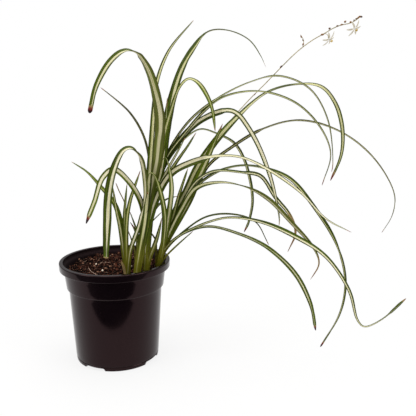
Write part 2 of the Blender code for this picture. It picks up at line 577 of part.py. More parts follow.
def tubeMesh(name, points, radius):
    """A closed round tube along the points."""
    curve = bpy.data.curves.new(name, "CURVE")
    curve.dimensions = "3D"
    curve.bevel_depth = radius * CM
    curve.bevel_resolution = 1
    curve.use_fill_caps = True
    spline = curve.splines.new("POLY")
    spline.points.add(len(points) - 1)
    for knot, point in zip(spline.points, points):
        knot.co = (*(point * CM), 1.0)
    guide = bpy.data.objects.new(name, curve)
    bpy.context.scene.collection.objects.link(guide)
    graph = bpy.context.evaluated_depsgraph_get()
    mesh = bpy.data.meshes.new_from_object(guide.evaluated_get(graph))
    bpy.data.objects.remove(guide)
    shape = bmesh.new()
    shape.from_mesh(mesh)
    bmesh.ops.remove_doubles(shape, verts=shape.verts, dist=0.00001)
    bmesh.ops.recalc_face_normals(shape, faces=shape.faces)
    shape.to_mesh(mesh)
    shape.free()
    mesh.shade_smooth()
    return mesh


def boardPoint(place, depth):
    """The point of this depth layer that the board shows at this place."""
    return offTheBoard(np.array([place], float), np.array([depth]))[0]


def makeStalk(parts, cutters):
    """The arching flower stalk, with the pedicels and a side shoot of buds grown from it."""
    board = smoothRoute(STALK_ROUTE, 3)
    length = arcLengths(board)
    line = offTheBoard(board, smoothValues(STALK_DEPTH, length / length[-1]))
    line[0, 2] = LEAF_FOOT
    stalk = addPiece("flower_stalk", tubeMesh("flower_stalk", line, STALK_RADIUS), "stalk", parts)
    for name, (foot, centre, facing) in FLOWERS.items():
        start = line[np.argmin(np.linalg.norm(board - np.array(foot), axis=1))]
        end = boardPoint(centre, FLOWER_DEPTH) - unit(np.array(facing)) * 0.09
        middle = 0.5 * (start + end) + np.array([0.12, 0.0, 0.1])
        pedicel = tubeMesh(name + "_pedicel", smoothRoute([start, middle, end], 3), PEDICEL_RADIUS)
        boolean(stalk, addCutter(name + "_pedicel", pedicel, cutters), "UNION")
    start = line[np.argmin(np.linalg.norm(board - np.array(SIDE_SHOOT[0]), axis=1))]
    shoot = np.vstack([start, [boardPoint(place, STALK_DEPTH[-1]) for place in SIDE_SHOOT[1:]]])
    side = tubeMesh("side_shoot", smoothRoute(shoot, 3), PEDICEL_RADIUS)
    boolean(stalk, addCutter("side_shoot", side, cutters), "UNION")
    return stalk


def makeTepal(name, centre, facing, angle, parts):
    """A narrow, slightly reflexed petal: a lens-shaped section along a curve away from the axis."""
    helper = unit(np.cross(facing, np.array([0.0, 0.0, 1.0])))
    outward = helper * math.cos(angle) + np.cross(facing, helper) * math.sin(angle)
    across = np.cross(facing, outward)
    share = np.linspace(0.0, 1.0, 6)
    line = centre + outward * (TEPAL_START + TEPAL_LENGTH * share)[:, None]
    line = line + facing * (0.10 + 0.12 * share - 0.34 * share**2)[:, None]
    half = 0.5 * TEPAL_WIDTH * np.array([0.34, 0.8, 1.0, 0.95, 0.62, 0.0])
    rings = []
    for point, reach in zip(line[:-1], half):
        rise = facing * TEPAL_RISE
        rings.append((point - across * reach, point + rise, point + across * reach, point - rise))
    return pointedTube(name, rings, line[-1], "petal", parts)


def makeFlowers(parts):
    """Each flower has six narrow petals about a small cone of stamens, a gap in front of its pedicel."""
    for name, (_, centre, facing) in FLOWERS.items():
        middle = boardPoint(centre, FLOWER_DEPTH)
        forward = unit(np.array(facing))
        for number in range(6):
            angle = math.radians(60.0 * number + 15.0)
            makeTepal(f"{name}_petal_{number + 1}", middle, forward, angle, parts)
        cone = bpy.data.meshes.new(name + "_stamens")
        shape = bmesh.new()
        bmesh.ops.create_cone(
            shape, cap_ends=True, segments=10, radius1=0.04 * CM, radius2=0.10 * CM, depth=0.44 * CM
        )
        shape.to_mesh(cone)
        shape.free()
        cone.shade_smooth()
        stamens = addPiece(name + "_stamens", cone, "stamen", parts)
        stamens.location = (middle + forward * 0.26) * CM
        turn = np.cross([0.0, 0.0, 1.0], forward)
        stamens.rotation_mode = "AXIS_ANGLE"
        stamens.rotation_axis_angle = (math.acos(forward[2]), *unit(turn))


clearScene()
partsCollection = newCollection("spider_plant")
cuttersCollection = newCollection("cutters")
makePot(partsCollection, cuttersCollection)
makeSoil(partsCollection)
for leafName, leafSpec in LEAVES.items():
    makeLeaf(leafName, *leafSpec, partsCollection)
makeStalk(partsCollection, cuttersCollection)
makeFlowers(partsCollection)
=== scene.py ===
import json
import math

import bmesh
import bpy
import numpy as np
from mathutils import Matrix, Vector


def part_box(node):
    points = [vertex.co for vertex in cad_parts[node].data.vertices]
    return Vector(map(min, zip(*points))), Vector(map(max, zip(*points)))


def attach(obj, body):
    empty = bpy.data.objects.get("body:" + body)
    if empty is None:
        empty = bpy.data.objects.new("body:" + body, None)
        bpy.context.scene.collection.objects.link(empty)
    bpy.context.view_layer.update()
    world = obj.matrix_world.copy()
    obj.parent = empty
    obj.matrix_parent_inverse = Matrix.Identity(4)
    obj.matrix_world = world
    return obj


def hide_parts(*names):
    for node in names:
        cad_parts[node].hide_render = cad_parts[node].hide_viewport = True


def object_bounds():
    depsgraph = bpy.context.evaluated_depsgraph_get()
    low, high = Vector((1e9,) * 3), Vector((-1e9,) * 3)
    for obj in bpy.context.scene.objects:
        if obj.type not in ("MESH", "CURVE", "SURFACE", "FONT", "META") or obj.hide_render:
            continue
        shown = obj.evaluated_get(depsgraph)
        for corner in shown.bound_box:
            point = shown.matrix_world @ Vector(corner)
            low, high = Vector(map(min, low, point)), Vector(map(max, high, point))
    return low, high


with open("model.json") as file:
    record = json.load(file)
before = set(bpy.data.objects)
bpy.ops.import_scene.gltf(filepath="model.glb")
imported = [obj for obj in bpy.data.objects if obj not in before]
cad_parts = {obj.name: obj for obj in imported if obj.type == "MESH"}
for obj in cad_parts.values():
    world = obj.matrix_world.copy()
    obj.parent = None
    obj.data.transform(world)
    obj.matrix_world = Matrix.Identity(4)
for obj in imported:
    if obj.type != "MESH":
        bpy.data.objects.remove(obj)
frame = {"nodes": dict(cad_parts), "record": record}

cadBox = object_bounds()
cm = 0.01

# The camera stands where the leaves' drawing board is looked at from.
viewSettings = {"eye": (11.2, -66.0, 31.9), "pitch": 11.74, "lens": 50.0, "sensor": 36.0, "shift": -0.0030}
camera = bpy.data.objects.new("camera", bpy.data.cameras.new("camera"))
camera.location = [value * cm for value in viewSettings["eye"]]
camera.rotation_euler = (math.radians(90.0 - viewSettings["pitch"]), 0.0, 0.0)
camera.data.lens = viewSettings["lens"]
camera.data.sensor_width = viewSettings["sensor"]
camera.data.shift_x = viewSettings["shift"]
camera.data.clip_start = 0.01
bpy.context.scene.collection.objects.link(camera)
bpy.context.scene.camera = camera
print("camera made")


def unit(vectors):
    return vectors / np.maximum(np.linalg.norm(vectors, axis=-1, keepdims=True), 1e-12)


def smoothStep(values, low, high):
    share = np.clip((values - low) / (high - low), 0.0, 1.0)
    return share * share * (3.0 - 2.0 * share)


# Running length of a chain of points, in the points' own unit.
def runningLength(points):
    return np.concatenate([[0.0], np.cumsum(np.linalg.norm(np.diff(points, axis=0), axis=1))])


# Cubic Hermite curve through values at knots, with tangents by finite differences, read at places.
def smoothThrough(knots, values, places):
    slopes = np.gradient(values, knots, axis=0)
    index = np.clip(np.searchsorted(knots, places, side="right") - 1, 0, len(knots) - 2)
    span = knots[index + 1] - knots[index]
    t = (places - knots[index]) / span
    if values.ndim > 1:
        span = span[:, None]
        t = t[:, None]
    squared = t * t
    cubed = squared * t
    return (
        (2 * cubed - 3 * squared + 1) * values[index]
        + (cubed - 2 * squared + t) * span * slopes[index]
        + (3 * squared - 2 * cubed) * values[index + 1]
        + (cubed - squared) * span * slopes[index + 1]
    )


# Quads between the rows of a grid whose rows are closed rings of `around` points.
def ringQuads(rows, around):
    i = np.arange(rows - 1)[:, None] * around
    j = np.arange(around)[None, :]
    k = (j + 1) % around
    return np.stack([i + j, i + k, i + around + k, i + around + j], axis=-1).reshape(-1, 4)


# A mesh object from points, quads, and optional end caps as long faces.
def meshObject(name, points, quads, caps=(), smooth=True):
    mesh = bpy.data.meshes.new(name)
    faces = [tuple(quad) for quad in quads.tolist()] + [tuple(cap) for cap in caps]
    mesh.from_pydata(points.tolist(), [], faces)
    mesh.update()
    if smooth:
        mesh.shade_smooth()
    piece = bpy.data.objects.new(name, mesh)
    bpy.context.scene.collection.objects.link(piece)
    return piece


def pointAttribute(piece, name, values):
    layer = piece.data.attributes.new(name, "FLOAT", "POINT")
    layer.data.foreach_set("value", np.asarray(values, np.float32).ravel())


def vertexUv(piece, across, along):
    mesh = piece.data
    layer = mesh.uv_layers.new(name="UVMap")
    corner = np.empty(len(mesh.loops), np.int32)
    mesh.loops.foreach_get("vertex_index", corner)
    uv = np.stack([across[corner], along[corner]], axis=1).astype(np.float32)
    layer.data.foreach_set("uv", uv.ravel())


def finishPiece(piece, material, slot, *nodes):
    piece.data.materials.append(material)
    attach(piece, "root")
    if nodes:
        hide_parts(*nodes)


class Nodes:
    def __init__(self, name):
        self.material = bpy.data.materials.new(name)
        self.material.use_nodes = True
        self.tree = self.material.node_tree
        self.shader = self.tree.nodes["Principled BSDF"]

    def put(self, kind, **settings):
        node = self.tree.nodes.new(kind)
        for key, value in settings.items():
            setattr(node, key, value)
        return node

    def feed(self, node, socket, value):
        if isinstance(value, bpy.types.NodeSocket):
            self.tree.links.new(value, node.inputs[socket])
        else:
            node.inputs[socket].default_value = value

    def math(self, operation, first, second=0.5, third=0.0):
        node = self.put("ShaderNodeMath", operation=operation)
        self.feed(node, 0, first)
        self.feed(node, 1, second)
        self.feed(node, 2, third)
        return node.outputs[0]

    # A smooth step of a value from low to high, to the range 0 to 1 or the given one.
    def step(self, value, low, high, start=0.0, end=1.0):
        node = self.put("ShaderNodeMapRange", interpolation_type="SMOOTHSTEP")
        for socket, entry in enumerate((value, low, high, start, end)):
            self.feed(node, socket, entry)
        return node.outputs[0]

    def mix(self, share, first, second, blend="MIX"):
        node = self.put("ShaderNodeMix", data_type="RGBA", blend_type=blend)
        self.feed(node, 0, share)
        self.feed(node, 6, first)
        self.feed(node, 7, second)
        return node.outputs[2]

    def attribute(self, name):
        return self.put("ShaderNodeAttribute", attribute_name=name).outputs["Fac"]

    def coordinates(self, kind="Object", scale=(1.0, 1.0, 1.0)):
        source = self.put("ShaderNodeTexCoord").outputs[kind]
        mapping = self.put("ShaderNodeMapping")
        self.feed(mapping, "Vector", source)
        self.feed(mapping, "Scale", scale)
        return mapping.outputs[0]

    def noise(self, vector, scale, detail=3.0, roughness=0.55):
        node = self.put("ShaderNodeTexNoise")
        self.feed(node, "Vector", vector)
        self.feed(node, "Scale", scale)
        self.feed(node, "Detail", detail)
        self.feed(node, "Roughness", roughness)
        return node.outputs[0]

    def bump(self, height, strength, distance):
        node = self.put("ShaderNodeBump")
        self.feed(node, "Strength", strength)
        self.feed(node, "Distance", distance)
        self.feed(node, "Height", height)
        self.feed(self.shader, "Normal", node.outputs[0])


def colour(red, green, blue):
    return (red, green, blue, 1.0)


# For each leaf: share of its width that the pale stripe fills, how white the stripe is, how deep the
# green, how dry the whole blade, the length of the brown tip in cm, and how dark that tip is.
leafLooks = {
    "leaf_a1_blunt_arch": (0.36, 1.0, 0.70, 0.0, 0.3, 0.0),
    "leaf_a2_behind": (0.16, 0.2, 0.30, 0.0, 0.5, 0.3),
    "leaf_a3_right": (0.30, 0.3, 0.35, 0.0, 1.2, 0.4),
    "leaf_a4_upright": (0.28, 0.4, 0.3, 0.0, 0.4, 0.2),
    "leaf_a5_left": (0.40, 0.6, 0.2, 0.0, 0.3, 0.2),
    "leaf_a6_dry": (0.0, 0.0, 0.2, 0.7, 1.0, 0.3),
    "leaf_a7_sheath": (0.0, 0.0, 0.0, 1.0, 0.6, 0.3),
    "leaf_b1_cream_left": (0.42, 1.0, 0.15, 0.0, 1.4, 1.2),
    "leaf_b2_slender_top": (0.38, 0.6, 0.75, 0.0, 0.5, 0.3),
    "leaf_b3_tall_left_arch": (0.34, 0.8, 0.55, 0.0, 1.2, 0.9),
    "leaf_b4_small_arch": (0.26, 0.5, 0.26, 0.0, 0.6, 0.3),
    "leaf_b5_short_right": (0.25, 0.4, 0.6, 0.0, 0.8, 0.4),
    "leaf_b6_short_cream": (0.55, 0.9, 0.2, 0.1, 0.8, 0.3),
    "leaf_b7_pale_point": (0.60, 0.9, 0.2, 0.2, 1.5, 0.1),
    "leaf_b8_dark_tip": (0.20, 0.3, 0.75, 0.0, 1.2, 1.0),
    "leaf_b9_left": (0.25, 0.4, 0.5, 0.0, 0.5, 0.5),
    "leaf_b10_olive": (0.10, 0.0, 0.2, 0.5, 0.5, 0.4),
    "leaf_c1_tall_right_arch": (0.28, 0.7, 0.75, 0.0, 1.0, 0.3),
    "leaf_c2_thin_left": (0.08, 0.3, 1.0, 0.35, 1.0, 0.6),
    "leaf_c3_long_tan": (0.24, 0.6, 0.88, 0.15, 2.0, 0.5),
    "leaf_c4_long_olive": (0.24, 0.6, 0.88, 0.06, 1.5, 0.5),
    "leaf_c5_wide_arch": (0.40, 1.0, 0.8, 0.0, 1.0, 0.3),
    "leaf_c6_kinked_arch": (0.26, 0.6, 0.84, 0.0, 1.2, 0.75),
    "leaf_c7_dark_short": (0.30, 0.6, 0.60, 0.0, 1.0, 0.3),
    "leaf_c8_sprout": (0.0, 0.0, 0.8, 0.0, 0.2, 0.2),
    "leaf_c9_dead": (0.0, 0.0, 0.2, 1.0, 4.0, 1.0),
    "leaf_c10_dark_right": (0.25, 0.5, 0.60, 0.0, 0.6, 0.4),
    "leaf_c11_olive": (0.0, 0.0, 0.3, 0.2, 0.3, 0.2),
    "leaf_c12_cream_right": (0.42, 1.0, 0.55, 0.0, 1.0, 0.6),
    "leaf_d1_cream_long_arch": (0.34, 0.6, 0.60, 0.0, 2.0, 0.6),
    "leaf_d2_green_upright": (0.26, 0.6, 0.12, 0.0, 1.4, 0.5),
    "leaf_d3_short": (0.25, 0.4, 0.4, 0.0, 0.6, 0.3),
    "leaf_d4_long_thin": (0.16, 0.5, 1.0, 0.05, 1.0, 0.4),
    "leaf_d5_dark_arch": (0.20, 0.5, 0.88, 0.0, 1.3, 0.9),
    "leaf_d6_long_low": (0.30, 0.8, 0.84, 0.0, 0.8, 0.3),
    "leaf_d7_thin_low": (0.10, 0.3, 0.9, 0.10, 0.8, 0.5),
    "leaf_d8_rusty_bend": (0.30, 0.8, 0.84, 0.0, 7.5, 0.22),
    "leaf_d9_tan_underside": (0.36, 0.8, 0.4, 0.12, 4.5, 0.25),
    "leaf_d10_front_arch": (0.16, 0.8, 0.60, 0.0, 0.9, 1.3),
    "leaf_d11_olive_short": (0.10, 0.2, 0.2, 0.3, 0.6, 0.4),
    "leaf_d12_folded_tip": (0.20, 0.4, 0.40, 0.0, 0.4, 0.5),
    "leaf_d13_upright": (0.30, 0.7, 0.35, 0.0, 0.4, 0.4),
    "leaf_d14_thin_left": (0.10, 0.2, 1.0, 0.0, 0.4, 0.5),
}

# Leaves with a broad end: over how many cm it rounds off, and its least width before that in cm.
bluntTips = {
    "leaf_a1_blunt_arch": (0.12, 0.6),
    "leaf_a2_behind": (1.6, 0.34),
    "leaf_b1_cream_left": (0.8, 0.46),
    "leaf_b3_tall_left_arch": (0.25, 0.50),
    "leaf_b4_small_arch": (1.4, 0.34),
    "leaf_c6_kinked_arch": (1.0, 0.36),
    "leaf_d1_cream_long_arch": (1.0, 0.34),
    "leaf_d5_dark_arch": (0.3, 0.26),
    "leaf_d6_long_low": (1.0, 0.40),
    "leaf_d10_front_arch": (0.9, 0.44),
    "leaf_d12_folded_tip": (0.4, 0.40),
    "leaf_d13_upright": (0.5, 0.38),
}

# Leaves that are broader or narrower than their solid, by this factor.
bladeBreadth = {
    "leaf_a2_behind": 1.35,
    "leaf_b1_cream_left": 1.3,
    "leaf_b2_slender_top": 1.15,
    "leaf_b3_tall_left_arch": 1.3,
    "leaf_b4_small_arch": 1.4,
    "leaf_c1_tall_right_arch": 1.4,
    "leaf_c5_wide_arch": 1.3,
    "leaf_c6_kinked_arch": 1.45,
    "leaf_d2_green_upright": 1.3,
    "leaf_d6_long_low": 0.85,
    "leaf_d8_rusty_bend": 1.25,
    "leaf_d9_tan_underside": 1.5,
    "leaf_d12_folded_tip": 1.2,
    "leaf_d13_upright": 1.2,
}

# Leaves whose blade turns about its midrib away from its solid: share of the length, degrees.
bladeTurns = {
    "leaf_a1_blunt_arch": (
        (0.27, 0), (0.31, 40), (0.353, 70), (0.421, 80), (0.481, 84), (0.50, 72), (0.52, 50), (0.543, 30),
        (0.561, 18), (0.591, 6), (0.647, 0),
    ),
    "leaf_b3_tall_left_arch": (
        (0.58, 0), (0.634, 18), (0.667, 29), (0.691, 42), (0.719, 48), (0.743, 54), (0.761, 39), (0.773, 25),
        (0.805, 5), (0.855, -5), (0.914, -15), (0.97, -22),
    ),
    "leaf_b4_small_arch": (
        (0.40, 0), (0.546, 12), (0.589, 17), (0.623, 24), (0.681, 20), (0.726, 2), (0.76, -11), (0.78, -18),
        (0.799, -10), (0.834, 15), (0.885, 26), (0.938, 30),
    ),
    "leaf_c1_tall_right_arch": (
        (0.46, 0), (0.488, 15), (0.522, 20), (0.56, 24), (0.604, 28), (0.644, 29), (0.693, 13), (0.728, 3),
        (0.768, -22), (0.796, -26), (0.838, -26), (0.884, -24), (0.95, -18),
    ),
    "leaf_d9_tan_underside": (
        (0.45, 0), (0.522, -5), (0.568, -19), (0.615, -30), (0.667, -32), (0.721, -27), (0.789, -20),
        (0.86, -11), (0.92, 0),
    ),
}

bladeSettings = {
    "step": 0.13,         # cm between rings
    "across": 13,         # points from edge to edge
    "thickness": 0.055,   # cm at the midrib
    "edgeThickness": 0.014,
    "keel": 0.20,         # roundness of the fold, as a share of the half width
    "ripple": 0.035,      # waviness of the edges, as a share of the half width
    "widen": 1.05,        # how much wider than its CAD solid a blade is
    "widenBy": 0.04,      # and by how many cm more
    "tipWidth": 0.12,     # least width in cm, so that a point still shows
    "tipLength": 0.35,    # cm over which a pointed tip closes
    "footBelow": 0.6,     # cm that a leaf goes down into the potting mix
}


# The rings of a CAD leaf: its mesh is a tube of four-cornered sections that ends in a point, so
# walking from the point over the edges finds one section after another.
def leafSections(node):
    mesh = node.data
    co = np.empty(len(mesh.vertices) * 3, np.float32)
    mesh.vertices.foreach_get("co", co)
    loose = np.round(co.reshape(-1, 3).astype(float) / cm, 5)
    points, index = np.unique(loose, axis=0, return_inverse=True)
    index = index.ravel()
    corner = np.empty(len(mesh.loops), np.int32)
    mesh.loops.foreach_get("vertex_index", corner)
    faces = index[corner].reshape(-1, 3)
    linked = np.zeros((len(points), len(points)), bool)
    for a, b in ((0, 1), (1, 2), (2, 0)):
        linked[faces[:, a], faces[:, b]] = True
        linked[faces[:, b], faces[:, a]] = True
    np.fill_diagonal(linked, False)
    found = []
    for tip in np.flatnonzero(linked.sum(1) == 4):
        seen = np.zeros(len(points), bool)
        seen[tip] = True
        layer = np.array([tip])
        rings = []
        while True:
            layer = np.flatnonzero(linked[layer].any(0) & ~seen)
            if len(layer) != 4:
                break
            seen[layer] = True
            rings.append(layer)
        if seen.all():
            found.append((sum(np.ptp(points[ring], axis=0).sum() for ring in rings), tip, rings[::-1]))
    if not found:
        raise ValueError(f"{node.name} isn't a tube of four-cornered sections")
    _, tip, rings = min(found, key=lambda entry: entry[0])
    return points, linked, tip, rings


# Midrib, edge direction, face direction, width and fold of each section, foot to tip.
def leafStations(node):
    points, linked, tip, rings = leafSections(node)
    midribs, edges, faces, rises = [], [], [], []
    for ring in rings:
        far = [j for j in range(1, 4) if not linked[ring[0], ring[j]]]
        choices = []
        for j in far or (1, 2, 3):
            pairs = [(ring[0], ring[j]), tuple(np.delete(ring, [0, j]))]
            pairs.sort(key=lambda pair: -np.linalg.norm(points[pair[0]] - points[pair[1]]))
            choices.append((np.linalg.norm(points[pairs[1][0]] - points[pairs[1][1]]), pairs))
        pairs = min(choices, key=lambda choice: choice[0])[1]
        edge = points[pairs[0][1]] - points[pairs[0][0]]
        face = points[pairs[1][1]] - points[pairs[1][0]]
        if edges and np.dot(edge, edges[-1]) < 0:
            edge = -edge
        if faces and np.dot(face, faces[-1]) < 0:
            face = -face
        midrib = points[list(pairs[1])].mean(0)
        midribs.append(midrib)
        edges.append(edge)
        faces.append(face)
        rises.append(np.dot(points[list(pairs[0])].mean(0) - midrib, unit(face)))
    if sum(rises) < 0:
        faces = [-face for face in faces]
        rises = [-rise for rise in rises]
    midribs.append(points[tip])
    edges.append(edges[-1] * 0.04)
    faces.append(faces[-1])
    rises.append(0.0)
    edges = np.array(edges)
    return np.array(midribs), unit(edges), unit(np.array(faces)), np.linalg.norm(edges, axis=1), np.array(rises)


# A leaf blade: the section is a V with a rounded keel, height = rise * (sqrt(a^2 + k^2) - k) over a
# from -1 to 1, thick at the keel and thin at the edges, carried along the midrib of the CAD leaf.
def makeBlade(name, looks, number):
    settings = bladeSettings
    draw = np.random.default_rng(1000 + number)
    midribs, edges, faces, widths, rises = leafStations(frame["nodes"][name])
    length = runningLength(midribs)
    total = length[-1]
    count = max(24, int(total / settings["step"]))
    places = total * np.sort(np.concatenate([np.linspace(0, 1, count), [1 - 0.3 / count, 1 - 0.6 / count]]))
    line = smoothThrough(length, midribs, places)
    edgeward = unit(smoothThrough(length, edges, places))
    faceward = unit(smoothThrough(length, faces, places))
    turns = np.array(bladeTurns.get(name, ((0.0, 0), (1.0, 0))), dtype=float)
    turn = np.radians(np.interp(places / total, turns[:, 0], turns[:, 1]))[:, None]
    edgeward, faceward = (
        edgeward * np.cos(turn) - faceward * np.sin(turn),
        faceward * np.cos(turn) + edgeward * np.sin(turn),
    )
    breadth = settings["widen"] * bladeBreadth.get(name, 1.0)
    width = np.maximum(smoothThrough(length, widths, places), 0.0) * breadth + settings["widenBy"]
    rise = np.maximum(smoothThrough(length, rises, places), 0.0)
    roundLength, leastWidth = bluntTips.get(name, (settings["tipLength"], settings["tipWidth"]))
    least = np.maximum(settings["tipWidth"], leastWidth * smoothStep(places, total - 3.5, total - 2.0))
    end = np.sqrt(np.clip((total - places) / roundLength, 0.0, 1.0))
    width = np.maximum(np.maximum(width, least) * end, 0.012)
    # the foot goes on down into the mix
    foot = np.linspace(settings["footBelow"], 0.0, 5)[:-1]
    along = unit(np.gradient(line, axis=0))
    line = np.vstack([line[0] - along[0] * foot[:, None], line])
    edgeward = np.vstack([np.repeat(edgeward[:1], 4, 0), edgeward])
    faceward = np.vstack([np.repeat(faceward[:1], 4, 0), faceward])
    width = np.concatenate([np.repeat(width[0], 4), width])
    rise = np.concatenate([np.repeat(rise[0], 4), rise])
    places = np.concatenate([-foot, places])
    half = width / 2
    a = np.sin(np.linspace(-math.pi / 2, math.pi / 2, settings["across"]))
    keel = settings["keel"]
    shape = (np.sqrt(a * a + keel * keel) - keel) / (math.sqrt(1 + keel * keel) - keel)
    thick = settings["edgeThickness"] + (settings["thickness"] - settings["edgeThickness"]) * (1 - a * a)
    thin = np.clip(width / 0.3, 0.25, 1.0)
    ripple = np.zeros_like(places)
    other = np.zeros_like(places)
    for wave in (2.6, 5.3, 9.0):
        size = settings["ripple"] * wave / 6.0
        ripple += size * np.sin(2 * math.pi * places / wave + draw.uniform(0, 6.3))
        other += size * np.sin(2 * math.pi * places / wave + draw.uniform(0, 6.3))
    sideRipple = np.where(a[None] > 0, ripple[:, None], other[:, None]) * a[None] ** 2
    middle = (
        line[:, None]
        + edgeward[:, None] * (half[:, None] * a[None])[..., None]
        + faceward[:, None] * (rise[:, None] * shape[None] + half[:, None] * sideRipple)[..., None]
    )
    offset = faceward[:, None] * (0.5 * thin[:, None] * thick[None])[..., None]
    ringPoints = np.concatenate([middle + offset, (middle - offset)[:, ::-1]], axis=1)
    rows, around = ringPoints.shape[:2]
    points = np.clip(ringPoints.reshape(-1, 3) * cm, *cadBox)
    quads = ringQuads(rows, around)
    caps = [list(range(around))[::-1], [(rows - 1) * around + i for i in range(around)]]
    blade = meshObject("blade_" + name[5:], points, quads, caps)
    across = np.concatenate([a, a[::-1]])
    vertexUv(blade, np.tile((across + 1) / 2, rows), np.repeat(places, around))
    stripe, white, green, dry, tipLength, tipDark = looks
    left = total - places
    risen = smoothStep(places, 4.0, 13.0)
    stripeGrowth = 0.45 + 0.55 * smoothStep(places / total, 0.0, 0.35)
    burnt = 1 - smoothStep(left, 0.35 * tipLength, tipLength)
    lean = draw.uniform(0.05, 0.22) * draw.choice((-1, 1))
    drift = lean + 0.08 * np.sin(2 * math.pi * places / draw.uniform(7, 13) + draw.uniform(0, 6))
    values = {
        "across": np.tile(across, rows),
        # painted shade mask: how far each side of the fold faces down, read from the way its edge points
        "low": (np.clip(-across[None] * edgeward[:, 2:] / 0.6, 0.0, 1.0) * risen[:, None]).ravel(),
        "fromStripe": (np.abs(across[None] - drift[:, None])).ravel(),
        "stripe": np.repeat(stripe * stripeGrowth * (0.35 + 0.65 * smoothStep(left, 0.5, 5.0)), around),
        "white": np.full(rows * around, white),
        "green": np.full(rows * around, green),
        "dry": np.repeat(np.maximum(dry, burnt), around),
        "dark": np.repeat((1 - smoothStep(left, 0.0, 0.75 * tipLength)) * tipDark, around),
        "foot": np.repeat(1 - smoothStep(places, 0.5, 5.5), around),
        "upper": np.tile(np.concatenate([np.ones(len(a)), np.zeros(len(a))]), rows),
        "seed": np.full(rows * around, number * 0.731),
    }
    for key, entries in values.items():
        pointAttribute(blade, key, entries)
    recalcOutward(blade)
    return blade


def recalcOutward(piece):
    shape = bmesh.new()
    shape.from_mesh(piece.data)
    bmesh.ops.recalc_face_normals(shape, faces=shape.faces)
    shape.to_mesh(piece.data)
    shape.free()


# Leaf finish: a pale stripe along the middle between green margins, fine veins along the blade,
# a duller underside, a yellowed foot that also holds painted shade where the leaf bases crowd,
# painted shade along the blade's edges and on the half of its fold that faces down, drying spots
# and a brown tip. u runs across the blade and v along it in centimetres.
def leafMaterial():
    make = Nodes("leafBlade")
    source = make.put("ShaderNodeTexCoord").outputs["UV"]
    split = make.put("ShaderNodeSeparateXYZ")
    make.feed(split, 0, source)
    u, v = split.outputs[0], split.outputs[1]
    seed = make.attribute("seed")

    def streaks(across, along, shift, detail):
        join = make.put("ShaderNodeCombineXYZ")
        make.feed(join, 0, make.math("MULTIPLY", u, across))
        make.feed(join, 1, make.math("MULTIPLY", v, along))
        make.feed(join, 2, make.math("MULTIPLY", seed, shift))
        return make.noise(join.outputs[0], 1.0, detail, 0.6)

    veins = streaks(22.0, 0.15, 7.3, 2.0)
    bands = streaks(7.0, 0.08, 5.1, 1.0)
    patches = streaks(2.0, 0.35, 3.1, 3.0)
    fine = make.noise(make.coordinates(), 900.0, 2.0, 0.6)

    stripe = make.attribute("stripe")
    wander = make.math("MULTIPLY_ADD", make.math("SUBTRACT", bands, 0.5), 0.50, make.attribute("fromStripe"))
    wander = make.math("MULTIPLY_ADD", make.math("SUBTRACT", veins, 0.5), 0.22, wander)
    pale = make.step(make.math("SUBTRACT", wander, stripe), 0.05, -0.05)
    pale = make.math("MULTIPLY", pale, make.step(stripe, 0.0, 0.05))
    green = make.attribute("green")
    deep = make.mix(green, colour(0.065, 0.080, 0.003), colour(0.016, 0.024, 0.0012))
    light = make.mix(green, colour(0.165, 0.25, 0.010), colour(0.070, 0.115, 0.006))
    deep = make.mix(make.step(green, 0.85, 1.0), deep, colour(0.026, 0.027, 0.005))
    light = make.mix(make.step(green, 0.85, 1.0), light, colour(0.105, 0.105, 0.022))
    # Painted shade: both edges of the blade go to a near-black green, standing in for shaded margins.
    paintedShadeRim = make.mix(green, colour(0.060, 0.070, 0.003), colour(0.008, 0.011, 0.0015))
    body = make.mix(make.step(veins, 0.42, 0.68), deep, light)
    body = make.mix(make.step(patches, 0.45, 0.75, 0.0, 0.4), body, light)
    white = make.attribute("white")
    cream = make.mix(white, colour(0.42, 0.42, 0.07), colour(0.74, 0.69, 0.50))
    shade = make.mix(white, colour(0.20, 0.23, 0.014), colour(0.47, 0.44, 0.18))
    stripeColour = make.mix(make.step(veins, 0.46, 0.66), cream, shade)
    skin = make.mix(pale, body, stripeColour)
    edge = make.math("ABSOLUTE", make.attribute("across"))
    skin = make.mix(make.step(edge, 0.70, 0.92, 0.0, 0.88), skin, paintedShadeRim)
    # Painted shade: the half of the fold that faces down takes the deep green.
    low = make.math("MULTIPLY", make.step(make.attribute("low"), 0.15, 0.65), make.math("MULTIPLY", green, 0.95))
    skin = make.mix(low, skin, deep)
    under = make.mix(0.30, skin, colour(0.15, 0.14, 0.04))
    skin = make.mix(make.attribute("upper"), under, skin)
    # The foot: yellow-brown, and darker towards the soil as painted shade among the crowded leaf bases.
    foot = make.mix(make.step(veins, 0.3, 0.7), colour(0.11, 0.095, 0.004), colour(0.30, 0.27, 0.022))
    skin = make.mix(make.math("MULTIPLY", make.attribute("foot"), 0.7), skin, foot)
    dryness = make.math("MULTIPLY_ADD", make.math("SUBTRACT", patches, 0.5), 0.7, make.attribute("dry"))
    dried = make.step(dryness, 0.35, 0.75)
    husk = make.mix(make.step(veins, 0.35, 0.65), colour(0.16, 0.10, 0.03), colour(0.36, 0.27, 0.12))
    dark = make.attribute("dark")
    husk = make.mix(make.step(dark, 0.0, 0.45), husk, colour(0.150, 0.018, 0.013))
    husk = make.mix(make.step(dark, 0.40, 0.85), husk, colour(0.016, 0.006, 0.009))
    skin = make.mix(dried, skin, husk)
    freckle = make.step(make.math("MULTIPLY", fine, patches), 0.38, 0.44, 0.0, 0.45)
    skin = make.mix(freckle, skin, colour(0.26, 0.18, 0.06))
    make.feed(make.shader, "Base Color", skin)
    rough = make.math("MULTIPLY_ADD", fine, 0.3, dried)
    make.feed(make.shader, "Roughness", make.step(rough, 0.0, 1.2, 0.45, 0.75))
    make.feed(make.shader, "Specular IOR Level", 0.12)
    make.bump(make.math("MULTIPLY_ADD", fine, 0.12, veins), 0.25, 0.0003)
    return make.material


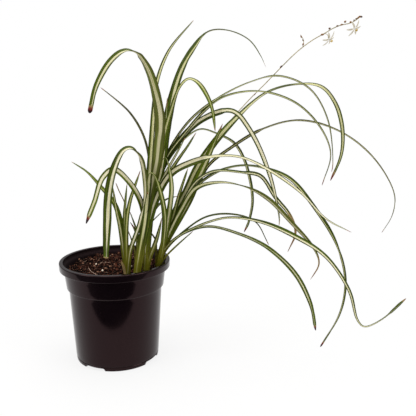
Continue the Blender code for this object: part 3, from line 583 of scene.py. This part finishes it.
leafFinish = leafMaterial()
slotOf = {part["node"]: part["material_slot"] for part in frame["record"]["subparts"]}
for number, (name, looks) in enumerate(leafLooks.items()):
    finishPiece(makeBlade(name, looks, number), leafFinish, slotOf[name], name)
print("leaves made:", len(leafLooks))


potLow, potHigh = (np.array(corner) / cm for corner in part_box("pot"))
potSettings = {
    "radius": (potHigh[0] - potLow[0]) / 2,
    "height": potHigh[2],
    "steps": 288,
    "notchAngles": (-115.0, -25.0, 65.0, 155.0),
    "notchHalf": 15.8,
    "notchHeight": 0.33,
}


# The pot is a profile of radius and height turned about Z, with rounded corners. Its foot is lifted
# between the angles of each notch.
def potProfile():
    lip = potSettings["radius"]
    top = potSettings["height"]
    corners = [
        (0.02, 0.6, 0.0), (lip - 1.97, 0.6, 0.2), (lip - 1.70, 0.85, 0.1), (lip - 1.18, 8.8, 0.1),
        (lip - 0.93, 9.1, 0.1), (lip - 0.68, top - 0.75, 0.2), (lip - 0.48, top - 0.40, 0.15),
        (lip - 0.46, top, 0.09), (lip, top, 0.16), (lip - 0.02, top - 0.85, 0.10),
        (lip - 0.52, top - 0.85, 0.06), (lip - 0.78, 8.94, 0.06), (lip - 1.03, 8.84, 0.05),
        (lip - 1.53, 0.58, 0.03), (lip - 1.60, 0.52, 0.03), (lip - 1.60, 0.46, 0.03),
        (lip - 1.56, 0.40, 0.03), (lip - 1.59, 0.0, 0.12), (lip - 1.88, 0.0, 0.06),
        (lip - 1.92, 0.42, 0.05), (1.48, 0.42, 0.05), (1.4, 0.0, 0.04), (0.02, 0.0, 0.0),
    ]
    points = []
    for before, (radius, height, bevel), after in zip([None] + corners, corners, corners[1:] + [None]):
        here = np.array([radius, height])
        if before is None or after is None or bevel == 0.0:
            points.append(here)
            continue
        arm = [np.array(other[:2]) - here for other in (before, after)]
        size = min(bevel, 0.45 * np.linalg.norm(arm[0]), 0.45 * np.linalg.norm(arm[1]))
        start, end = (here + unit(side) * size for side in arm)
        t = np.linspace(0, 1, 6)[:, None]
        points.extend((1 - t) ** 2 * start + 2 * t * (1 - t) * here + t**2 * end)
    dense = [points[0]]
    for point in points[1:]:
        gap = np.linalg.norm(point - dense[-1])
        pieces = max(1, int(gap / 0.5))
        start = dense[-1]
        dense.extend(start + (point - start) * (i + 1) / pieces for i in range(pieces))
    return np.array(dense)


def makePot():
    profile = potProfile()
    steps = potSettings["steps"]
    angle = np.linspace(0, 2 * math.pi, steps, endpoint=False)
    radius, height = profile[:, 0][:, None], profile[:, 1][:, None]
    away = np.min(
        [np.abs((np.degrees(angle) - middle + 180) % 360 - 180) for middle in potSettings["notchAngles"]], axis=0
    )
    lift = potSettings["notchHeight"] * (1 - smoothStep(away, potSettings["notchHalf"] - 1.2, potSettings["notchHalf"]))
    onFoot = radius > potSettings["radius"] - 2.2
    height = np.where(onFoot, np.maximum(height, lift[None]), height)
    points = np.stack(
        [radius * np.cos(angle), radius * np.sin(angle), height + 0 * angle], axis=-1
    ).reshape(-1, 3)
    rows = len(profile)
    caps = [list(range(steps)), [(rows - 1) * steps + i for i in range(steps)][::-1]]
    pot = meshObject("pot_shell", points * cm, ringQuads(rows, steps), caps)
    crest = np.flatnonzero(profile[:, 1] > potSettings["height"] - 0.1)[0]
    pointAttribute(pot, "inside", np.repeat(np.arange(rows) < crest, steps))
    recalcOutward(pot)
    return pot


# Black moulded plastic: faint turned grain, dust and light scuffs.
def potMaterial():
    make = Nodes("potPlastic")
    place = make.coordinates()
    cloud = make.noise(place, 9.0, 5.0, 0.6)
    dust = make.noise(place, 260.0, 3.0, 0.6)
    grain = make.noise(make.coordinates(scale=(40.0, 40.0, 900.0)), 1.0, 2.0, 0.5)
    base = make.mix(make.step(cloud, 0.35, 0.7), colour(0.0022, 0.0012, 0.0020), colour(0.0050, 0.0030, 0.0034))
    base = make.mix(make.step(dust, 0.66, 0.8, 0.0, 0.3), base, colour(0.05, 0.034, 0.030))
    make.feed(make.shader, "Base Color", base)
    inside = make.attribute("inside")
    gloss = make.step(cloud, 0.3, 0.75, 0.10, 0.16)
    make.feed(make.shader, "Roughness", make.math("MULTIPLY_ADD", inside, 0.5, gloss))
    make.feed(make.shader, "Specular IOR Level", 0.25)
    make.feed(make.shader, "Specular Tint", colour(1.0, 0.58, 0.60))
    make.bump(make.math("MULTIPLY_ADD", dust, 0.5, grain), 0.06, 0.0002)
    return make.material


finishPiece(makePot(), potMaterial(), "pot", "pot")
print("pot made")


soilLow, soilHigh = (np.array(corner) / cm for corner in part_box("soil"))
soilSettings = {
    "rings": 150,
    "steps": 420,
    "lump": 0.34,
    "crumbs": 1700,
    "crumbSizes": (0.035, 0.115),
    "clods": 200,
    "clodSizes": (0.10, 0.19),
    "fibres": 14,
    # pale grains lying on top: x, y and size in cm
    "perlite": ((-2.42, 0.83, 0.15), (-1.21, -1.77, 0.15), (1.91, 0.4, 0.10), (-1.24, 4.0, 0.06),
                (-4.0, 2.2, 0.05), (-2.9, -2.2, 0.05), (0.4, 2.9, 0.07), (3.1, 3.2, 0.06)),
    # root threads lying on top: start and end x and y, and thickness in cm
    "threads": ((-3.17, -0.34, -1.35, -3.39, 0.026), (-2.1, 0.9, -0.9, 1.9, 0.022)),
}


# Sum of sine lumps of several sizes, in cm.
def soilHeight(x, y):
    draw = np.random.default_rng(7)
    height = np.zeros_like(x)
    for wave, size in ((4.0, 0.45), (1.9, 0.35), (0.9, 0.4), (0.45, 0.33), (0.24, 0.25)):
        for _ in range(5):
            turn, shift = draw.uniform(0, 6.3), draw.uniform(0, 6.3)
            run = x * math.cos(turn) + y * math.sin(turn)
            height += size / 5 * np.sin(2 * math.pi * run / wave + shift + 1.3 * np.sin(2 * math.pi * y / wave))
    return soilSettings["lump"] * height


# Height of the mix's surface before its lumps: it climbs a little to the back.
def soilLevel(y):
    return soilHigh[2] - 0.06 + 0.10 * smoothStep(y, -1.0, 5.0)


# The mix is a disc of lumps with a skirt down inside the pot, closed below.
def makeSoil():
    steps = soilSettings["steps"]
    wall = potSettings["radius"] - 0.74
    angle = np.linspace(0, 2 * math.pi, steps, endpoint=False)
    radius = np.linspace(0.02, wall, soilSettings["rings"])[:, None]
    x, y = radius * np.cos(angle), radius * np.sin(angle)
    top = soilLevel(y) + soilHeight(x, y) * smoothStep(wall - radius, 0.0, 0.3)
    top = top - 0.25 * smoothStep(radius, wall - 0.6, wall)
    rows = [np.stack([x, y, top], -1)]
    for reach, height in ((wall - 0.02, soilHigh[2] - 1.0), (wall - 0.22, 9.1), (wall - 0.6, 8.7), (1.0, 8.7)):
        rows.append(np.stack([reach * np.cos(angle), reach * np.sin(angle), height + 0 * angle], -1)[None])
    points = np.concatenate(rows).reshape(-1, 3)
    count = len(points) // steps
    caps = [list(range(steps)), [(count - 1) * steps + i for i in range(steps)][::-1]]
    soil = meshObject("potting_mix", points * cm, ringQuads(count, steps), caps)
    recalcOutward(soil)
    return soil


# Grains: small lumpy balls of 5 by 8 points, flattened and sunk into the surface, each with a tone
# from 0 to 1.
def makeGrains(name, x, y, size, draw, sink, squash):
    count = len(x)
    z = soilLevel(y) + soilHeight(x, y) + size * sink
    lat = np.linspace(-math.pi / 2 + 0.25, math.pi / 2 - 0.25, 5)[:, None]
    lon = np.linspace(0, 2 * math.pi, 8, endpoint=False)
    ball = np.stack([np.cos(lat) * np.cos(lon), np.cos(lat) * np.sin(lon), np.sin(lat) + 0 * lon], -1)
    ball = ball.reshape(-1, 3)
    bumps = draw.uniform(0.65, 1.2, (count, len(ball), 1))
    stretch = np.stack([draw.uniform(0.7, 1.6, count), draw.uniform(0.5, 1.1, count), np.full(count, squash)], -1)
    body = ball[None] * bumps * stretch[:, None] * size[:, None, None]
    spin = draw.uniform(0, 2 * math.pi, count)
    cosine, sine = np.cos(spin)[:, None], np.sin(spin)[:, None]
    turned = np.stack([
        body[..., 0] * cosine - body[..., 1] * sine,
        body[..., 0] * sine + body[..., 1] * cosine,
        body[..., 2],
    ], -1)
    points = (turned + np.stack([x, y, z], -1)[:, None]).reshape(-1, 3)
    quads = (ringQuads(5, 8)[None] + np.arange(count)[:, None, None] * 40).reshape(-1, 4)
    caps = []
    for i in range(count):
        caps.append([i * 40 + j for j in range(8)][::-1])
        caps.append([i * 40 + 32 + j for j in range(8)])
    grains = meshObject(name, points * cm, quads, caps)
    pointAttribute(grains, "tone", np.repeat(draw.uniform(0, 1, count), len(ball)))
    recalcOutward(grains)
    return grains


def scatteredGrains(name, count, sizes, seed, sink, squash):
    draw = np.random.default_rng(seed)
    reach = (potSettings["radius"] - 1.0) * np.sqrt(draw.uniform(0, 1, count))
    turn = draw.uniform(0, 2 * math.pi, count)
    size = draw.uniform(*sizes, count)
    return makeGrains(name, reach * np.cos(turn), reach * np.sin(turn), size, draw, sink, squash)


# A round tube along a line of points, one radius for each, closed at both ends.
def tubePoints(line, radii, around=6):
    along = unit(np.gradient(line, axis=0))
    side = unit(np.cross(along, [0.13, 0.31, 0.94]))
    over = np.cross(along, side)
    turn = np.linspace(0, 2 * math.pi, around, endpoint=False)
    ring = side[:, None] * np.cos(turn)[None, :, None] + over[:, None] * np.sin(turn)[None, :, None]
    return (line[:, None] + ring * radii[:, None, None]).reshape(-1, 3)


# Several tubes of the same number of rings as one object.
def tubeBundle(name, tubes, around=6):
    points, quads, caps = [], [], []
    start = 0
    for line, radii in tubes:
        points.append(tubePoints(line, radii, around))
        quads.append(ringQuads(len(line), around) + start)
        last = start + (len(line) - 1) * around
        caps += [list(range(start, start + around))[::-1], list(range(last, last + around))]
        start = last + around
    bundle = meshObject(name, np.concatenate(points) * cm, np.concatenate(quads), caps)
    recalcOutward(bundle)
    return bundle


# Root threads lie along the surface in slow waves and end in points.
def makeThreads():
    draw = np.random.default_rng(21)
    ends = [list(thread) for thread in soilSettings["threads"]]
    for _ in range(soilSettings["fibres"]):
        reach, turn, aim = 4.9 * math.sqrt(draw.uniform()), draw.uniform(0, 6.3), draw.uniform(0, 6.3)
        long = draw.uniform(0.3, 1.0)
        x, y = reach * math.cos(turn), reach * math.sin(turn)
        ends.append([x, y, x + long * math.cos(aim), y + long * math.sin(aim), draw.uniform(0.008, 0.014)])
    tubes = []
    share = np.linspace(0, 1, 14)
    for x0, y0, x1, y1, thick in ends:
        bow = draw.uniform(-0.10, 0.10) * np.sin(math.pi * share)
        wave = bow + 0.012 * np.sin(share * draw.uniform(8, 14) + draw.uniform(0, 6))
        x = x0 + (x1 - x0) * share - (y1 - y0) * wave
        y = y0 + (y1 - y0) * share + (x1 - x0) * wave
        z = soilLevel(y) + soilHeight(x, y) + 0.07 + 0.06 * np.sin(math.pi * share)
        tubes.append((np.stack([x, y, z], -1), thick * (1.05 - np.abs(2 * share - 1) ** 6)))
    return tubeBundle("root_threads", tubes)


# Peat: dark and reddish crumbs a few millimetres across, the crumbs that lie loose paler by their tone.
def peatMaterial():
    make = Nodes("peat")
    place = make.coordinates()
    lumps = make.noise(place, 150.0, 4.0, 0.7)
    crumbs = make.noise(place, 420.0, 4.0, 0.75)
    flakes = make.noise(make.coordinates(scale=(1.0, 3.0, 1.0)), 800.0, 2.0, 0.6)
    tone = make.attribute("tone")
    base = make.mix(make.step(lumps, 0.42, 0.66), colour(0.0012, 0.0004, 0.0004), colour(0.018, 0.005, 0.003))
    base = make.mix(make.step(crumbs, 0.56, 0.70, 0.0, 0.7), base, colour(0.10, 0.030, 0.015))
    base = make.mix(make.step(tone, 0.30, 0.90, 0.0, 0.9), base, colour(0.110, 0.034, 0.018))
    base = make.mix(make.step(tone, 0.88, 0.97, 0.0, 0.9), base, colour(0.36, 0.19, 0.12))
    base = make.mix(make.step(flakes, 0.62, 0.68, 0.0, 0.7), base, colour(0.36, 0.21, 0.15))
    make.feed(make.shader, "Base Color", base)
    make.feed(make.shader, "Roughness", 0.95)
    make.feed(make.shader, "Specular IOR Level", 0.06)
    make.bump(make.math("ADD", lumps, crumbs), 0.9, 0.0016)
    return make.material


def threadMaterial():
    make = Nodes("rootThread")
    grain = make.noise(make.coordinates(), 700.0, 3.0, 0.6)
    make.feed(make.shader, "Base Color", make.mix(grain, colour(0.26, 0.13, 0.08), colour(0.62, 0.45, 0.34)))
    make.feed(make.shader, "Roughness", 0.8)
    make.bump(grain, 0.4, 0.0002)
    return make.material


def perliteMaterial():
    make = Nodes("perlite")
    pits = make.noise(make.coordinates(), 900.0, 3.0, 0.7)
    make.feed(make.shader, "Base Color", make.mix(pits, colour(0.60, 0.46, 0.34), colour(0.86, 0.76, 0.62)))
    make.feed(make.shader, "Roughness", 0.9)
    make.bump(pits, 0.6, 0.0005)
    return make.material


peatFinish = peatMaterial()
finishPiece(makeSoil(), peatFinish, "potting_mix", "soil")
crumbs = scatteredGrains("peat_crumbs", soilSettings["crumbs"], soilSettings["crumbSizes"], 3, 0.3, 0.8)
finishPiece(crumbs, peatFinish, "potting_mix")
clods = scatteredGrains("peat_clods", soilSettings["clods"], soilSettings["clodSizes"], 5, 0.15, 0.75)
finishPiece(clods, peatFinish, "potting_mix")
perliteX, perliteY, perliteSize = np.array(soilSettings["perlite"]).T
perlite = makeGrains("perlite", perliteX, perliteY, perliteSize, np.random.default_rng(12), 0.8, 0.9)
finishPiece(perlite, perliteMaterial(), "potting_mix")
finishPiece(makeThreads(), threadMaterial(), "potting_mix")
print("potting mix made")


# Petals: dull white with a darker vein down the middle and tan streaks.
def petalMaterial():
    make = Nodes("petal")
    streaks = make.noise(make.coordinates(), 500.0, 3.0, 0.6)
    middle = make.step(make.attribute("edge"), 0.05, 0.35)
    base = make.mix(middle, colour(0.42, 0.36, 0.22), colour(0.72, 0.68, 0.58))
    base = make.mix(make.step(streaks, 0.40, 0.72, 0.0, 0.6), base, colour(0.44, 0.38, 0.27))
    make.feed(make.shader, "Base Color", base)
    make.feed(make.shader, "Roughness", 0.55)
    make.feed(make.shader, "Specular IOR Level", 0.25)
    make.bump(streaks, 0.3, 0.0003)
    return make.material


# Stalk: straw over olive, in patches.
def stalkMaterial():
    make = Nodes("stalk")
    place = make.coordinates()
    grain = make.noise(place, 500.0, 3.0, 0.6)
    cloud = make.noise(place, 60.0, 3.0, 0.6)
    base = make.mix(make.step(grain, 0.35, 0.65), colour(0.24, 0.19, 0.08), colour(0.44, 0.38, 0.22))
    base = make.mix(make.step(cloud, 0.42, 0.66, 0.0, 0.7), base, colour(0.17, 0.15, 0.055))
    make.feed(make.shader, "Base Color", base)
    make.feed(make.shader, "Roughness", 0.6)
    make.feed(make.shader, "Specular IOR Level", 0.25)
    make.bump(grain, 0.3, 0.0002)
    return make.material


# Buds and bracts: rust brown, darker towards their points.
def budMaterial():
    make = Nodes("bud")
    grain = make.noise(make.coordinates(), 900.0, 3.0, 0.65)
    tone = make.attribute("tone")
    base = make.mix(make.step(grain, 0.38, 0.62), colour(0.10, 0.040, 0.014), colour(0.34, 0.17, 0.05))
    base = make.mix(make.step(tone, 0.35, 1.0), base, colour(0.050, 0.020, 0.014))
    make.feed(make.shader, "Base Color", base)
    make.feed(make.shader, "Roughness", 0.6)
    make.feed(make.shader, "Specular IOR Level", 0.25)
    make.bump(grain, 0.5, 0.0003)
    return make.material


# Anthers: dusty ochre.
def antherMaterial():
    make = Nodes("anther")
    powder = make.noise(make.coordinates(), 2500.0, 2.0, 0.6)
    make.feed(make.shader, "Base Color", make.mix(powder, colour(0.42, 0.25, 0.02), colour(0.72, 0.52, 0.10)))
    make.feed(make.shader, "Roughness", 0.8)
    make.feed(make.shader, "Specular IOR Level", 0.2)
    make.bump(powder, 0.5, 0.0002)
    return make.material


flowerSettings = {
    "boardSlide": -0.11,  # how far in cm the leaves' drawing board is slid across
    "flowerDepth": 5.5,
    # where a flower's centre shows on the board, and the way it faces
    "flowers": {
        "flower_1": ((24.48, 37.17), (0.62, -0.55, -0.56)),
        "flower_2": ((27.2, 38.28), (0.48, -0.74, -0.48)),
    },
    # buds: place on the board, length and half thickness in cm, angle up from the right in degrees, tone
    "buds": (
        (16.4, 31.2, 0.30, 0.055, 48, 0.4), (19.3, 34.22, 0.42, 0.085, 44, 0.7), (21.66, 36.62, 0.34, 0.085, 75, 0.0),
        (21.62, 37.05, 0.30, 0.055, 105, 0.5), (21.42, 37.42, 0.36, 0.075, 118, 0.3),
        (23.75, 37.64, 0.46, 0.10, 10, 0.0), (24.50, 38.28, 0.30, 0.095, 30, 0.7), (25.34, 38.54, 0.30, 0.085, 25, 0.6),
        (25.80, 38.68, 0.32, 0.085, 20, 0.1), (26.18, 39.0, 0.32, 0.10, 40, 0.2), (26.78, 38.95, 0.30, 0.10, 30, 0.2),
        (27.14, 39.16, 0.22, 0.06, 25, 0.6), (27.38, 39.30, 0.26, 0.075, 25, 0.6), (27.62, 39.44, 0.36, 0.085, 28, 0.0),
        (27.84, 39.66, 0.34, 0.09, 65, 0.4), (27.92, 39.50, 0.30, 0.09, -10, 0.8), (27.76, 39.58, 0.34, 0.10, 35, 0.2),
    ),
    "filament": 0.42,     # cm from the flower's centre to its anthers
    "filamentRadius": 0.016,
    "antherSize": (0.055, 0.13),
}


# A place on the leaves' drawing board, moved along its line from the eye to a depth.
def boardPoint(place, depth):
    eye = np.array(viewSettings["eye"])
    flat = np.array([place[0] + flowerSettings["boardSlide"], 0.0, place[1]])
    return eye + (flat - eye) * (1.0 - depth / eye[1])


# Depth of the stalk where the board shows it nearest to a place.
def stalkDepth(place):
    mesh = frame["nodes"]["flower_stalk"].data
    loose = np.empty(len(mesh.vertices) * 3, np.float32)
    mesh.vertices.foreach_get("co", loose)
    points = loose.reshape(-1, 3).astype(float) / cm
    eye = np.array(viewSettings["eye"])
    onBoard = eye + (points - eye) / (1.0 - points[:, 1:2] / eye[1])
    gap = np.hypot(onBoard[:, 0] - flowerSettings["boardSlide"] - place[0], onBoard[:, 2] - place[1])
    return points[gap.argmin(), 1]


# A spindle: the radius goes as the square root of the sine of its length, fuller at its foot.
def spindle(middle, direction, length, thick, rings=9):
    share = np.linspace(0, 1, rings)
    line = middle + unit(np.array(direction)) * (length * (share - 0.5))[:, None]
    return line, thick * np.maximum(np.sin(math.pi * share ** 0.8) ** 0.7, 0.08)


def makeBuds():
    tubes = []
    for x, z, length, thick, angle, _ in flowerSettings["buds"]:
        turn = math.radians(angle)
        middle = boardPoint((x, z), stalkDepth((x, z)) - 0.5 * thick)
        tubes.append(spindle(middle, (math.cos(turn), -0.1, math.sin(turn)), length, 1.3 * thick))
    buds = tubeBundle("stalk_buds", tubes, 8)
    places = np.empty(len(buds.data.vertices) * 3)
    buds.data.vertices.foreach_get("co", places)
    buds.data.vertices.foreach_set("co", np.clip(places.reshape(-1, 3), *cadBox).ravel())
    tones = np.array([bud[-1] for bud in flowerSettings["buds"]])
    along = np.tile(np.repeat(np.linspace(0, 0.5, 9), 8), len(tones))
    pointAttribute(buds, "tone", np.repeat(tones, 72) * 0.8 + along)
    return buds


# Six filaments about a longer style, bowed outwards, and the anthers at their ends.
def makeStamens(flower):
    place, facing = flowerSettings["flowers"][flower]
    forward = unit(np.array(facing))
    centre = boardPoint(place, flowerSettings["flowerDepth"]) + forward * 0.05
    side = unit(np.cross(forward, [0.0, 0.0, 1.0]))
    over = np.cross(forward, side)
    share = np.linspace(0, 1, 9)
    threads, anthers = [], []
    for number in range(6):
        turn = math.radians(60 * number + 40)
        outward = side * math.cos(turn) + over * math.sin(turn)
        spread = 0.02 + 0.10 * np.sin(math.pi * share * 0.75)
        line = centre + forward * (flowerSettings["filament"] * share)[:, None] + outward * spread[:, None]
        threads.append((line, np.full(9, flowerSettings["filamentRadius"])))
        thick, length = flowerSettings["antherSize"]
        anthers.append(spindle(line[-1], forward + 0.5 * outward, length * 1.5, thick))
    style = centre + forward * (flowerSettings["filament"] * 1.25 * share)[:, None]
    threads.append((style, np.full(9, flowerSettings["filamentRadius"])))
    return tubeBundle(flower + "_filaments", threads), tubeBundle(flower + "_anthers", anthers, 8)


# A petal has the shape of its CAD solid with a rounder section and outline.
def makePetal(node):
    midribs, edges, faces, widths, _ = leafStations(node)
    length = runningLength(midribs)
    places = np.linspace(0, length[-1], 30)
    line = smoothThrough(length, midribs, places)
    edgeward = unit(smoothThrough(length, edges, places))
    faceward = unit(smoothThrough(length, faces, places))
    share = places / length[-1]
    width = np.maximum(widths.max() * np.sin(math.pi * np.clip(0.12 + 0.86 * share**0.9, 0, 1)) ** 0.6, 0.01)
    a = np.sin(np.linspace(-math.pi / 2, math.pi / 2, 9))
    cup = 0.16 * width[:, None] * a**2
    middle = line[:, None] + edgeward[:, None] * (0.5 * width[:, None] * a)[..., None] + faceward[:, None] * cup[..., None]
    offset = faceward[:, None] * (0.012 * (1.1 - a * a) + 0 * width[:, None])[..., None]
    ringPoints = np.concatenate([middle + offset, (middle - offset)[:, ::-1]], axis=1)
    rows, around = ringPoints.shape[:2]
    caps = [list(range(around))[::-1], [(rows - 1) * around + i for i in range(around)]]
    petal = meshObject("fine_" + node.name, ringPoints.reshape(-1, 3) * cm, ringQuads(rows, around), caps)
    across = np.concatenate([a, a[::-1]])
    pointAttribute(petal, "edge", np.tile(np.abs(across), rows))
    recalcOutward(petal)
    return petal


petalFinish = petalMaterial()
for flower in ("flower_1", "flower_2"):
    for number in range(6):
        name = f"{flower}_petal_{number + 1}"
        finishPiece(makePetal(frame["nodes"][name]), petalFinish, "petals", name)
stalkFinish = stalkMaterial()
frame["nodes"]["flower_stalk"].data.materials.clear()
frame["nodes"]["flower_stalk"].data.materials.append(stalkFinish)
finishPiece(makeBuds(), budMaterial(), "flower_stalk")
antherFinish = antherMaterial()
for flower in flowerSettings["flowers"]:
    filaments, anthers = makeStamens(flower)
    finishPiece(filaments, petalFinish, "stamens")
    finishPiece(anthers, antherFinish, "stamens", flower + "_stamens")
print("flowers made")


def makeSheet(name, low, high, height):
    mesh = bpy.data.meshes.new(name)
    corners = [(low[0], low[1], height), (high[0], low[1], height), (high[0], high[1], height), (low[0], high[1], height)]
    mesh.from_pydata(corners, [], [(0, 1, 2, 3)])
    sheet = bpy.data.objects.new(name, mesh)
    bpy.context.scene.collection.objects.link(sheet)
    return sheet


# White paper: it glows white to the camera and in reflections, all but a share of plain shading
# near the pot, where its shadow falls.
def floorMaterial():
    make = Nodes("whitePaper")
    make.feed(make.shader, "Base Color", colour(0.70, 0.69, 0.68))
    make.feed(make.shader, "Roughness", 0.9)
    path = make.put("ShaderNodeLightPath")
    seen = make.math("MAXIMUM", path.outputs["Is Camera Ray"], path.outputs["Is Glossy Ray"])
    away = make.put("ShaderNodeVectorMath", operation="LENGTH")
    make.feed(away, 0, make.coordinates())
    share = make.step(away.outputs["Value"], 0.10, 0.42, 0.82, 1.0)
    glow = make.put("ShaderNodeEmission")
    choose = make.put("ShaderNodeMixShader")
    make.feed(glow, "Color", colour(1.0, 1.0, 1.0))
    make.feed(choose, 0, make.math("MULTIPLY", seen, share))
    make.tree.links.new(make.shader.outputs[0], choose.inputs[1])
    make.tree.links.new(glow.outputs[0], choose.inputs[2])
    make.tree.links.new(choose.outputs[0], make.tree.nodes["Material Output"].inputs[0])
    return make.material


stageSettings = {"floorHalf": 4.0, "paperEdge": -0.145, "zenith": 1.15, "horizon": 0.30}
half = stageSettings["floorHalf"]
floor = makeSheet("floor", (-half, -half), (half, half), -0.0002)
floor.data.materials.append(floorMaterial())

# A dark card in front of the pot, seen only in the plastic's reflection.
card = makeSheet("dark_card", (-half, -half), (half, stageSettings["paperEdge"]), -0.0001)
cardFinish = Nodes("darkCard")
cardFinish.feed(cardFinish.shader, "Base Color", colour(0.01, 0.008, 0.01))
card.data.materials.append(cardFinish.material)
for ray in ("camera", "diffuse", "transmission", "shadow", "volume_scatter"):
    setattr(card, "visible_" + ray, False)

world = bpy.data.worlds.new("studio")
bpy.context.scene.world = world
world.use_nodes = True
tree = world.node_tree
soft = tree.nodes["Background"]
soft.inputs[0].default_value = (1.0, 1.0, 1.0, 1.0)
direction = tree.nodes.new("ShaderNodeSeparateXYZ")
tree.links.new(tree.nodes.new("ShaderNodeTexCoord").outputs["Generated"], direction.inputs[0])
climb = tree.nodes.new("ShaderNodeMapRange")
climb.interpolation_type = "SMOOTHSTEP"
climb.inputs["From Min"].default_value = 0.0
climb.inputs["From Max"].default_value = 0.9
climb.inputs["To Min"].default_value = stageSettings["horizon"]
climb.inputs["To Max"].default_value = stageSettings["zenith"]
tree.links.new(direction.outputs["Z"], climb.inputs["Value"])
tree.links.new(climb.outputs[0], soft.inputs[1])
white = tree.nodes.new("ShaderNodeBackground")
white.inputs[0].default_value = (1.0, 1.0, 1.0, 1.0)
white.inputs[1].default_value = 1.0
path = tree.nodes.new("ShaderNodeLightPath")
seen = tree.nodes.new("ShaderNodeMath")
seen.operation = "MAXIMUM"
choose = tree.nodes.new("ShaderNodeMixShader")
tree.links.new(path.outputs["Is Camera Ray"], seen.inputs[0])
tree.links.new(path.outputs["Is Transmission Ray"], seen.inputs[1])
tree.links.new(seen.outputs[0], choose.inputs[0])
tree.links.new(soft.outputs[0], choose.inputs[1])
tree.links.new(white.outputs[0], choose.inputs[2])
tree.links.new(choose.outputs[0], tree.nodes["World Output"].inputs[0])


def softLamp(name, place, target, size, power):
    lamp = bpy.data.objects.new(name, bpy.data.lights.new(name, "AREA"))
    lamp.data.shape = "RECTANGLE"
    lamp.data.size, lamp.data.size_y = size
    lamp.data.energy = power
    lamp.location = place
    direction = np.array(target) - np.array(place)
    lamp.rotation_euler = (
        math.acos(-direction[2] / np.linalg.norm(direction)), 0.0, math.atan2(direction[1], direction[0]) - math.pi / 2
    )
    bpy.context.scene.collection.objects.link(lamp)


softLamp("left_window", (-1.4, -0.9, 1.3), (0.1, 0.0, 0.2), (0.8, 1.2), 13.0)
softLamp("right_window", (1.6, -0.8, 1.1), (0.1, 0.0, 0.2), (0.8, 1.2), 9.0)
softLamp("top", (0.1, 0.1, 1.9), (0.1, 0.0, 0.1), (1.2, 1.2), 14.0)
bpy.context.scene.view_settings.view_transform = "Standard"
print("stage made")
